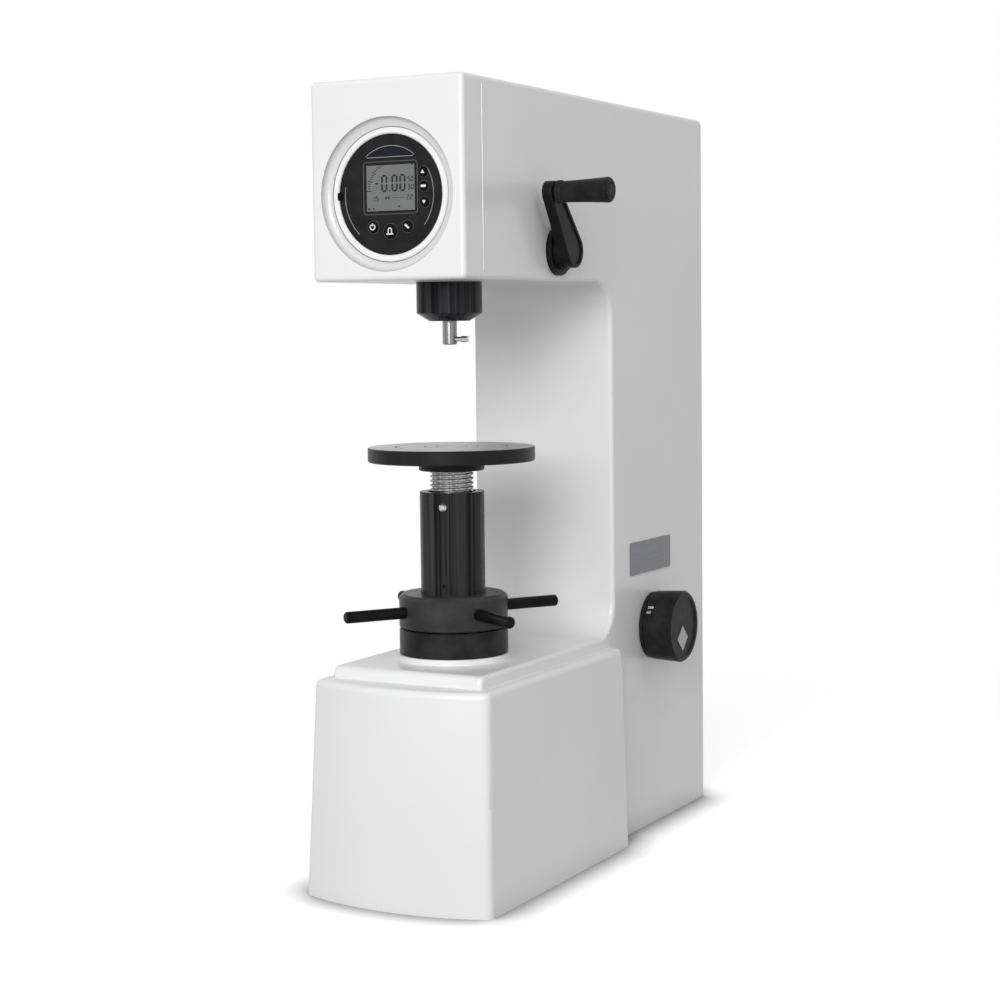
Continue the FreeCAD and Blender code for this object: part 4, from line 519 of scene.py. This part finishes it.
# Nodes whose surface differs from the rest of their slot
NODE_LOOKS = {
    # The fascia's dish has shade painted in where it is hollow.
    "fascia": paint("enamel_white_painted_dish_shade", painted_shade_in_hollows=True),
    # The sleeve and housing have painted reflection streaks along Z.
    "sleeve": blackened("sleeve_black", (0.006, 0.006, 0.007), (0.050, 0.050, 0.052), 0.24,
                        reflection_streaks=True),
    "indenter_housing": blackened("housing_black", (0.005, 0.005, 0.006), (0.045, 0.046, 0.050), 0.20,
                                  reflection_streaks=True),
    "screw_flange": blackened("flange_black", (0.012, 0.012, 0.013), (0.032, 0.032, 0.034), 0.30),
    "capstan_bars": blackened("bar_black", (0.004, 0.004, 0.005), (0.010, 0.010, 0.011), 0.28),
    # The spindle and elevating screw have painted reflection streaks along Z.
    "main_spindle": bright_steel("spindle_steel", (0.38, 0.38, 0.39), 0.20, reflection_streaks=0.85),
    "elevating_screw": bright_steel("screw_steel", (0.42, 0.42, 0.43), 0.22, reflection_streaks=0.7),
    "sleeve_screws": sleeve_screw_steel(),
}


def dress_nodes():
    """Gives each node that the frame brings the finish of its slot."""
    for name, node in NODES.items():
        for entry in node.material_slots:
            entry.material = NODE_LOOKS.get(name) or LOOKS[entry.material.name.split(".")[0]]


# Mesh helpers

def add_piece(name, bm, body, material, sharp=SHARP):
    """Turns a bmesh in the part's frame into a piece that rides on body."""
    bmesh.ops.remove_doubles(bm, verts=bm.verts, dist=WELD)
    bmesh.ops.recalc_face_normals(bm, faces=bm.faces)
    for face in bm.faces:
        face.smooth = True
    for edge in bm.edges:
        if edge.calc_face_angle(0.0) > math.radians(sharp):
            edge.smooth = False
    mesh = bpy.data.meshes.new(name)
    bm.to_mesh(mesh)
    bm.free()
    mesh.materials.append(material)
    piece = bpy.data.objects.new(name, mesh)
    bpy.context.scene.collection.objects.link(piece)
    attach(piece, body)
    return piece


def skin(bm, rows, closed_round=True, cap_first=True, cap_last=True):
    """Quads between successive rows of points, each row as long as the others."""
    made = [[bm.verts.new(point) for point in row] for row in rows]
    for first, second in zip(made, made[1:]):
        count = len(first)
        for i in range(count if closed_round else count - 1):
            j = (i + 1) % count
            bm.faces.new((first[i], first[j], second[j], second[i]))
    if cap_first:
        bm.faces.new(made[0])
    if cap_last:
        bm.faces.new(list(reversed(made[-1])))


def facing_front(points, low, high):
    """Rows for a flat shape seen from the front: points are (x, z), from y low to y high."""
    return [[Vector((x, y, z)) for x, z in points] for y in (low, high)]


def plate(bm, points, base, height):
    """Thin raised shape on a face that looks along -Y at y = base."""
    skin(bm, facing_front(points, base, base - height))


def ridge(bm, path, width, base, height, closed=False):
    """Raised line along path, a list of (x, z), on a face that looks along -Y."""
    count = len(path)
    rows = []
    for i, (x, z) in enumerate(path):
        before = path[i - 1] if closed or i else path[0]
        after = path[(i + 1) % count] if closed or i < count - 1 else path[-1]
        along = Vector((after[0] - before[0], after[1] - before[1])).normalized()
        side = Vector((-along.y, along.x)) * width / 2.0
        rows.append([Vector((x + side.x * s, base - height * h, z + side.y * s)) for s, h in LINE_PROFILE])
    if closed:
        rows.append(rows[0])
    skin(bm, rows, True, not closed, not closed)


def arc_points(centre, radius, first, last, count):
    """Points (x, z) on an arc, with its angles in degrees from +X towards +Z."""
    angles = [math.radians(first + (last - first) * i / (count - 1)) for i in range(count)]
    return [(centre[0] + radius * math.cos(a), centre[1] + radius * math.sin(a)) for a in angles]


def ring_points(centre, radius, count):
    """Points (x, z) round a full circle."""
    return arc_points(centre, radius, 0.0, 360.0 - 360.0 / count, count)


def rounded_box(left, right, bottom, top, radius, steps=7):
    """Points (x, z) round a box with round corners."""
    corners = ((right - radius, top - radius, 0), (left + radius, top - radius, 90),
               (left + radius, bottom + radius, 180), (right - radius, bottom + radius, 270))
    points = []
    for x, z, start in corners:
        points += arc_points((x, z), radius, start, start + 90, steps)
    return points


# Elevating screw with its thread

def thread_radius(share, turn, height, outer):
    """Radius of the thread at a turn and height, cut back flat where the keyway runs."""
    radius = outer - THREAD_DEPTH * share
    if height < KEYWAY_TOP and abs(math.cos(turn)) * outer < KEYWAY_HALF and math.sin(turn) > 0.0:
        radius = min(radius, (outer - KEYWAY_DEPTH) / math.sin(turn))
    return radius


def add_threaded_screw():
    """Elevating screw with one start of thread, its ends cut level."""
    low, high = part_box("elevating_screw")
    outer = high.x
    turns = math.ceil((high.z - low.z) / THREAD_PITCH) + 1
    rows = []
    for lead in range(-1, turns):
        for phase, share in THREAD_PROFILE:
            row = []
            for step in range(THREAD_STEPS + 1):
                turn = 2.0 * math.pi * step / THREAD_STEPS
                height = low.z + THREAD_PITCH * (lead + phase + step / THREAD_STEPS)
                height = min(max(height, low.z), high.z)
                radius = thread_radius(share, turn, height, outer)
                row.append(Vector((radius * math.cos(turn), radius * math.sin(turn), height)))
            rows.append(row)
    bm = bmesh.new()
    skin(bm, rows, closed_round=False, cap_first=False, cap_last=False)
    bmesh.ops.dissolve_degenerate(bm, dist=WELD, edges=bm.edges)
    look = NODE_LOOKS["elevating_screw"]
    piece = add_piece("threaded_screw", bm, "screw", look, SHARP_THREAD)
    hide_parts("elevating_screw")


# Cover screws

def separate_shapes(node):
    """The points of each loose shape in a node's mesh, one list for each."""
    bm = bmesh.new()
    bm.from_mesh(node.data)
    bmesh.ops.remove_doubles(bm, verts=bm.verts, dist=SAME_SHAPE)
    found = set()
    shapes = []
    for first in bm.verts:
        if first in found:
            continue
        found.add(first)
        stack = [first]
        points = []
        while stack:
            vert = stack.pop()
            points.append(vert.co.copy())
            for edge in vert.link_edges:
                other = edge.other_vert(vert)
                if other not in found:
                    found.add(other)
                    stack.append(other)
        shapes.append(points)
    bm.free()
    return shapes


def screw_rows(head_radius, head, length):
    """Rows of (radius, height, sides) of a socket screw, with its seat at height 0 and its shank below."""
    return (
        (SOCKET_HALF, head - SOCKET_DEPTH, HEX),
        (SOCKET_HALF, head - SOCKET_RIM, HEX),
        (SOCKET_HALF + SOCKET_FLARE, head, HEX),
        (head_radius - HEAD_CROWN, head, ROUND),
        (head_radius, head - HEAD_CROWN, ROUND),
        (head_radius, 0.0, ROUND),
        (SHANK_R, 0.0, ROUND),
        (SHANK_R, SHANK_POINT - length, ROUND),
        (SHANK_R - SHANK_POINT, -length, ROUND),
    )


def polygon_radius(apothem, sides, turn):
    """Distance from the centre of a polygon to its side in the direction turn."""
    if sides == ROUND:
        return apothem
    span = 2.0 * math.pi / sides
    return apothem / math.cos((turn + span / 2.0) % span - span / 2.0)


def add_cover_screws():
    """Socket screws with crowned heads in the places of the plain ones, whichever way each points."""
    angles = [2.0 * math.pi * step / SCREW_STEPS for step in range(SCREW_STEPS)]
    bm = bmesh.new()
    for points in separate_shapes(NODES["cover_screws"]):
        low = Vector([min(p[i] for p in points) for i in range(3)])
        high = Vector([max(p[i] for p in points) for i in range(3)])
        middle = (low + high) / 2.0
        axis = max(range(3), key=lambda i: high[i] - low[i])
        half = half_width(low, high, axis)
        levels = sorted(p[axis] for p in points if off_axis(p - middle, axis) > HEAD_SHARE * half)
        outward = 1.0 if levels[-1] > high[axis] - HEAD_TOLERANCE else -1.0
        head = levels[-1] - levels[0]
        seat = middle.copy()
        seat[axis] = levels[0] if outward > 0 else levels[-1]
        shank = high[axis] - low[axis] - head
        turn_to = (unit(axis) * outward).to_track_quat("Z", "Y").to_matrix().to_4x4()
        matrix = Matrix.Translation(seat) @ turn_to
        rows = []
        for radius, height, sides in screw_rows(half, head, shank):
            row = []
            for angle in angles:
                reach = polygon_radius(radius, sides, angle)
                row.append(matrix @ Vector((reach * math.cos(angle), reach * math.sin(angle), height)))
            rows.append(row)
        skin(bm, rows)
    piece = add_piece("socket_screws", bm, "frame", LOOKS["fastener"])
    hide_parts("cover_screws")


def unit(axis):
    """Unit vector along an axis, 0 to 2."""
    return Vector([1.0 if i == axis else 0.0 for i in range(3)])


def off_axis(offset, axis):
    """Length of the part of offset that is square to an axis."""
    return (offset - offset[axis] * unit(axis)).length


def half_width(low, high, axis):
    """Half of a box's larger width across an axis."""
    return max(high[i] - low[i] for i in range(3) if i != axis) / 2.0


# Seam of the front cover

def add_seam_beads():
    """Rolled paint edge along both sides of the seam, where the housing stands proud of the cover."""
    low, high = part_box("fascia")
    full = SEAM_END + SEAM_RUN_IN
    levels = ((low.z + SEAM_END, SEAM_END_LIFT), (low.z + full, 1.0),
              (high.z - full, 1.0), (high.z - SEAM_END, SEAM_END_LIFT))
    for side, name in ((high.x, "seam_bead_right"), (low.x, "seam_bead_left")):
        out = math.copysign(SEAM_BEAD, side)
        rows = [[Vector((side + out * lift * h, high.y + SEAM_BEAD * y, z)) for y, h in SEAM_PROFILE]
                for z, lift in levels]
        bm = bmesh.new()
        skin(bm, rows)
        add_piece(name, bm, "frame", LOOKS["paint"], SHARP_ROUNDED)


# Indicator

def add_badge():
    """Bare plaque above the display, an arc segment with a thin edge line."""
    centre = (DIAL_CENTRE.x, DIAL_CENTRE.z + BADGE_CREST - BADGE_R)
    reach = math.degrees(math.acos(BADGE_HALF / BADGE_R))
    crest = arc_points(centre, BADGE_R, reach, 180.0 - reach, BADGE_STEPS)
    foot = DIAL_CENTRE.z + BADGE_BOTTOM
    outline = [(BADGE_HALF - BADGE_CORNER, foot), *crest, (BADGE_CORNER - BADGE_HALF, foot)]
    bm = bmesh.new()
    plate(bm, outline, DIAL_Y, PRINT)
    add_piece("badge_field", bm, "frame", BADGE_FIELD)
    bm = bmesh.new()
    ridge(bm, outline, LINE_WIDTH, DIAL_Y - PRINT, LINE_HEIGHT, closed=True)
    add_piece("badge_edge", bm, "frame", GREY_LINE)


def add_panel_lines():
    """Fine raised lines of the dial: the panel's arcs and the border of the display."""
    centre = (DIAL_CENTRE.x, DIAL_CENTRE.z)
    low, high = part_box("gauge_screen")
    border = rounded_box(low.x - BORDER_GAP, high.x + BORDER_GAP,
                         low.z - BORDER_GAP, high.z + BORDER_GAP, BORDER_ROUND)
    bm = bmesh.new()
    ridge(bm, border, BORDER_WIDTH, DIAL_Y, LINE_HEIGHT, closed=True)
    add_piece("display_border", bm, "frame", DIM_LINE)
    bm = bmesh.new()
    for arc in PANEL_ARCS:
        ridge(bm, arc_points(centre, *arc), LINE_WIDTH, DIAL_Y, LINE_HEIGHT)
    add_piece("panel_arcs", bm, "frame", GREY_LINE)


def add_bezel_latch():
    """Small black tab over the ring's inner edge, opposite the side keys."""
    inner, outer = LATCH_REACH
    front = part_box("gauge_bezel")[0].y - LATCH_PROUD
    outline = rounded_box(-outer, -inner,
                          DIAL_CENTRE.z - LATCH_HALF, DIAL_CENTRE.z + LATCH_HALF, LATCH_ROUND)
    bm = bmesh.new()
    plate(bm, outline, DIAL_Y, DIAL_Y - front)
    add_piece("bezel_latch", bm, "frame", LOOKS["key_rubber"])


def segment_digit(bm, digit, left, bottom, width, height, thick, base):
    """One seven-segment figure: each lit segment is a bar with pointed ends."""
    half = thick / 2.0
    right = left + width
    top = bottom + height
    middle = bottom + height / 2.0
    ends = {
        "a": ((left, top), (right, top)), "b": ((right, middle), (right, top)),
        "c": ((right, bottom), (right, middle)), "d": ((left, bottom), (right, bottom)),
        "e": ((left, bottom), (left, middle)), "f": ((left, middle), (left, top)),
        "g": ((left, middle), (right, middle)),
    }
    for name in SEGMENTS[digit]:
        start, end = (Vector(point) for point in ends[name])
        along = (end - start).normalized()
        side = Vector((-along.y, along.x)) * half
        gap = along * thick * SEGMENT_GAP
        start, end = start + gap, end - gap
        inset = along * half
        outline = (start, start + inset - side, end - inset - side,
                   end, end - inset + side, start + inset + side)
        plate(bm, [tuple(point) for point in outline], base, PRINT)


def block(bm, left, bottom, width, height, base):
    """Printed rectangle."""
    right = left + width
    top = bottom + height
    plate(bm, [(left, bottom), (right, bottom), (right, top), (left, top)], base, PRINT)


def add_display():
    """Reading, scale ticks and small generic marks of the display."""
    low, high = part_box("gauge_screen")
    base = low.y
    width = high.x - low.x
    height = high.z - low.z
    bm = bmesh.new()

    def figure(digit, left, bottom, size):
        wide, tall, thick = size
        segment_digit(bm, digit, low.x + left * width, low.z + bottom * height,
                      wide * width, tall * height, thick * width, base)

    for left, bottom in READING_PLACES:
        figure("0", left, bottom, READING_FIGURE)
    for text, left, bottom in SMALL_NUMBERS:
        for index, digit in enumerate(text):
            figure(digit, left + SMALL_STEP * index, bottom, SMALL_FIGURE)
    for left, bottom, wide, tall in BLOCKS:
        block(bm, low.x + left * width, low.z + bottom * height, wide * width, tall * height, base)
    heart = Vector((low.x + TICK_CENTRE[0] * width, low.z + TICK_CENTRE[1] * height))
    for step in range(TICKS):
        turn = TICK_FIRST - TICK_SWEEP * step / (TICKS - 1)
        inner, outer = TICK_SHORT if step % TICKS_TO_A_LONG_ONE else TICK_LONG
        along = Vector((math.cos(turn), math.sin(turn))) * width
        side = Vector((-along.y, along.x)) * TICK_HALF
        near, far = heart + along * inner, heart + along * outer
        corners = (near + side, far + side, far - side, near - side)
        if max(point.y for point in corners) < low.z + TICK_CEILING * height:
            plate(bm, [tuple(point) for point in corners], base, PRINT)
    add_piece("display_marks", bm, "frame", DARK_PRINT)


def key_face(node):
    """Centre (x, z) and front plane of a key."""
    low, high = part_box(node)
    return (low.x + high.x) / 2.0, (low.z + high.z) / 2.0, low.y


def add_key_caps():
    """Domed cap with a rolled rim on the front of each key."""
    for node, radius in CAP_RADII.items():
        x, z, base = key_face(node)
        rows = []
        for share, depth in CAP_PROFILE:
            ring = ring_points((x, z), radius * share, CAP_STEPS)
            rows.append([Vector((px, base - CAP_THICK + depth * CAP_THICK, pz)) for px, pz in ring])
        bm = bmesh.new()
        skin(bm, rows)
        add_piece(node + "_cap", bm, node, LOOKS["key_rubber"])


def add_key_rings():
    """Fine raised ring on the dial round each key."""
    bm = bmesh.new()
    for node, radius in CAP_RADII.items():
        x, z, _ = key_face(node)
        ring = ring_points((x, z), radius + KEY_RING_GAP, KEY_RING_STEPS)
        ridge(bm, ring, RING_WIDTH, DIAL_Y, LINE_HEIGHT, closed=True)
    add_piece("key_rings", bm, "frame", DIM_LINE)


def add_key_marks():
    """One plain white mark on each key."""
    marks = {"key_side_top": triangle, "key_side_bottom": triangle_down, "key_side_middle": pill,
             "key_lower_left": ring_mark, "key_lower_middle": arch_mark, "key_lower_right": slash}
    for node, draw in marks.items():
        x, z, base = key_face(node)
        bm = bmesh.new()
        draw(bm, x, z, base - MARK_DEPTH)
        add_piece(node + "_mark", bm, node, WHITE_PRINT)


def triangle(bm, x, z, base, up=1.0):
    """Arrow head that points up, or down where up is -1."""
    foot = z - ARROW_FOOT * up
    points = [(x - ARROW_HALF, foot), (x + ARROW_HALF, foot), (x, z + ARROW_TIP * up)]
    plate(bm, points if up > 0 else list(reversed(points)), base, PRINT)


def triangle_down(bm, x, z, base):
    triangle(bm, x, z, base, -1.0)


def pill(bm, x, z, base):
    """Short level stroke with round ends."""
    outline = rounded_box(x - PILL_HALF_LENGTH, x + PILL_HALF_LENGTH,
                          z - PILL_HALF, z + PILL_HALF, PILL_ROUND)
    plate(bm, outline, base, PRINT)


def ring_mark(bm, x, z, base):
    """Ring that is open at the top, with a stroke in the opening."""
    width, foot, height = RING_MARK_STROKE
    ridge(bm, arc_points((x, z), *RING_MARK_ARC), MARK_STROKE, base, PRINT)
    block(bm, x - width / 2.0, z + foot, width, height, base)


def arch_mark(bm, x, z, base):
    """Arch on a level stroke."""
    foot = z - ARCH_HALF
    width, height = ARCH_BASE
    crown = arc_points((x, z + ARCH_SPRING), ARCH_HALF, 180.0, 0.0, ARCH_STEPS)
    ridge(bm, [(x - ARCH_HALF, foot), *crown, (x + ARCH_HALF, foot)], MARK_STROKE, base, PRINT)
    block(bm, x - width / 2.0, foot - height, width, height, base)


def slash(bm, x, z, base):
    """Thick stroke that falls to the right."""
    path = [(x - SLASH_RUN, z + SLASH_FALL), (x, z), (x + SLASH_RUN, z - SLASH_FALL)]
    ridge(bm, path, SLASH_STROKE, base, PRINT)


# Selector knob

def knob_radius(x):
    """Radius of the knob's skirt, which widens a little outwards."""
    share = (x - KNOB_SKIRT_IN) / (KNOB_SKIRT_OUT - KNOB_SKIRT_IN)
    return KNOB_R_IN + (KNOB_R_OUT - KNOB_R_IN) * share


def number_mesh(text, size):
    """A closed mesh of a number, flat in its own XY plane."""
    curve = bpy.data.curves.new("number", "FONT")
    curve.body = text
    curve.size = size
    curve.extrude = PRINT / 2.0
    curve.resolution_u = 3
    holder = bpy.data.objects.new("number", curve)
    bpy.context.scene.collection.objects.link(holder)
    bpy.context.view_layer.update()
    mesh = bpy.data.meshes.new_from_object(holder)
    bpy.data.objects.remove(holder)
    bpy.data.curves.remove(curve)
    return mesh


def add_knob_numbers():
    """Plain load figures round the knob's skirt, in two lines at each position."""
    bm = bmesh.new()
    for position, lines in enumerate(KNOB_NUMBERS):
        angle = KNOB_FIRST_ANGLE - KNOB_STEP * position
        for line, text in enumerate(lines):
            part = bmesh.new()
            part.from_mesh(number_mesh(text, NUMBER_SIZE))
            long_edges = [edge for edge in part.edges if edge.calc_length() > NUMBER_FACET]
            bmesh.ops.subdivide_edges(part, edges=long_edges, cuts=2)
            for vert in part.verts:
                x = NUMBER_X + vert.co.x
                lift = knob_radius(x) + PRINT / 2.0 + vert.co.z
                turn = angle - (vert.co.y - NUMBER_LINE * (line - 0.5)) / lift
                y = KNOB_AXIS.y + lift * math.cos(turn)
                z = KNOB_AXIS.z + lift * math.sin(turn)
                vert.co = Vector((x, y, z))
            wrapped = bpy.data.meshes.new("wrapped")
            part.to_mesh(wrapped)
            part.free()
            bm.from_mesh(wrapped)
            bpy.data.meshes.remove(wrapped)
    add_piece("knob_numbers", bm, "selector", WHITE_PRINT, SHARP_ROUNDED)


def add_lozenge():
    """Plain metal index plate on the knob's outer face, its corners up, down and sideways."""
    corners = (Vector((0, 1, 0)), Vector((0, 0, 1)), Vector((0, -1, 0)), Vector((0, 0, -1)))
    rows = []
    for share, lift in LOZENGE_PROFILE:
        middle = LOZENGE_CENTRE + Vector((lift * LOZENGE_THICK, 0, 0))
        rows.append([middle + share * LOZENGE_HALF * corner for corner in corners])
    bm = bmesh.new()
    skin(bm, rows)
    add_piece("knob_index_plate", bm, "selector", SILVER_PLATE)


# Stage

def seen_directly(tree):
    """1 for camera, mirror and glass rays, 0 for the light that a surface scatters."""
    path = new_node(tree, "ShaderNodeLightPath")
    seen = path.outputs["Is Camera Ray"]
    for ray in ("Is Glossy Ray", "Is Transmission Ray"):
        either = new_node(tree, "ShaderNodeMath", (seen, path.outputs[ray]))
        either.operation = "MAXIMUM"
        seen = either.outputs[0]
    return seen


def add_world():
    """White all round for the eye and for mirrors, and a weaker light from all sides."""
    world = bpy.data.worlds.new("studio")
    bpy.context.scene.world = world
    world.use_nodes = True
    tree = world.node_tree
    ambient = tree.nodes["Background"]
    ambient.inputs["Strength"].default_value = AMBIENT
    ambient.inputs["Color"].default_value = grey(WHITE)
    shown = new_node(tree, "ShaderNodeBackground", Strength=WHITE, Color=grey(WHITE))
    mix = new_node(tree, "ShaderNodeMixShader", (seen_directly(tree), ambient.outputs[0], shown.outputs[0]))
    tree.links.new(mix.outputs[0], tree.nodes["World Output"].inputs["Surface"])


def floor_material():
    """White floor that keeps the shadow: a glow under a matt surface, darker where the object stands."""
    material = bpy.data.materials.new("floor_white")
    material.use_nodes = True
    tree = material.node_tree
    tree.nodes.remove(tree.nodes["Principled BSDF"])
    bounce = new_node(tree, "ShaderNodeBsdfDiffuse", Color=grey(FLOOR_BOUNCE))
    matt = new_node(tree, "ShaderNodeBsdfDiffuse", Color=grey(WHITE))
    glow = new_node(tree, "ShaderNodeEmission", Strength=FLOOR_GLOW)
    lit = new_node(tree, "ShaderNodeAddShader", (matt.outputs[0], glow.outputs[0]))
    contact = new_node(tree, "ShaderNodeAmbientOcclusion", Distance=CONTACT_REACH)
    open_air = new_node(tree, "ShaderNodeMapRange", (contact.outputs["AO"],), From_Min=CONTACT_OPEN)
    shade = new_node(tree, "ShaderNodeBsdfDiffuse", Color=grey(CONTACT_SHADE))
    near = new_node(tree, "ShaderNodeMixShader", (open_air.outputs[0], shade.outputs[0], lit.outputs[0]))
    source = new_node(tree, "ShaderNodeTexCoord")
    reach = new_node(tree, "ShaderNodeVectorMath", (source.outputs["Object"],))
    reach.operation = "LENGTH"
    fade = new_node(tree, "ShaderNodeMapRange", (reach.outputs["Value"],),
                    From_Min=SHADOW_REACH[0], From_Max=SHADOW_REACH[1])
    fade.interpolation_type = "SMOOTHSTEP"
    backdrop = new_node(tree, "ShaderNodeEmission", Strength=WHITE)
    shown = new_node(tree, "ShaderNodeMixShader", (fade.outputs[0], near.outputs[0], backdrop.outputs[0]))
    mix = new_node(tree, "ShaderNodeMixShader", (seen_directly(tree), bounce.outputs[0], shown.outputs[0]))
    tree.links.new(mix.outputs[0], tree.nodes["Material Output"].inputs["Surface"])
    return material


def add_floor():
    half = FLOOR_SIZE / 2.0
    corners = [(-half, -half, 0), (half, -half, 0), (half, half, 0), (-half, half, 0)]
    mesh = bpy.data.meshes.new("floor")
    mesh.from_pydata(corners, [], [(0, 1, 2, 3)])
    mesh.materials.append(floor_material())
    floor = bpy.data.objects.new("floor", mesh)
    bpy.context.scene.collection.objects.link(floor)


def add_softbox(name, place, target, width, height, power):
    """Rectangular lamp at a place, turned to face its target."""
    data = bpy.data.lights.new(name, "AREA")
    data.shape = "RECTANGLE"
    data.size = width
    data.size_y = height
    data.energy = power
    lamp = bpy.data.objects.new(name, data)
    bpy.context.scene.collection.objects.link(lamp)
    direction = Vector(target) - Vector(place)
    lamp.matrix_world = Matrix.Translation(place) @ direction.to_track_quat("-Z", "Y").to_matrix().to_4x4()


def add_camera():
    """Camera that looks PITCH down at the front and the +X side, rolled by ROLL."""
    ahead = math.cos(PITCH)
    forward = Vector((-math.sin(AZIMUTH) * ahead, math.cos(AZIMUTH) * ahead, -math.sin(PITCH)))
    level = Vector((math.cos(AZIMUTH), math.sin(AZIMUTH), 0.0))
    upright = level.cross(forward)
    right = math.cos(ROLL) * level + math.sin(ROLL) * upright
    up = math.cos(ROLL) * upright - math.sin(ROLL) * level
    data = bpy.data.cameras.new("camera")
    data.lens = LENS
    data.sensor_width = SENSOR
    camera = bpy.data.objects.new("camera", data)
    turn = Matrix((right, up, -forward)).transposed().to_4x4()
    camera.matrix_world = Matrix.Translation(CAMERA_PLACE) @ turn
    bpy.context.scene.collection.objects.link(camera)
    bpy.context.scene.camera = camera


dress_nodes()
add_threaded_screw()
add_cover_screws()
add_badge()
add_panel_lines()
add_display()
add_bezel_latch()
add_key_caps()
add_key_rings()
add_key_marks()
add_seam_beads()
add_knob_numbers()
add_lozenge()
add_world()
add_floor()
for softbox in SOFTBOXES:
    add_softbox(*softbox)
add_camera()

bpy.context.scene.view_settings.view_transform = "Standard"
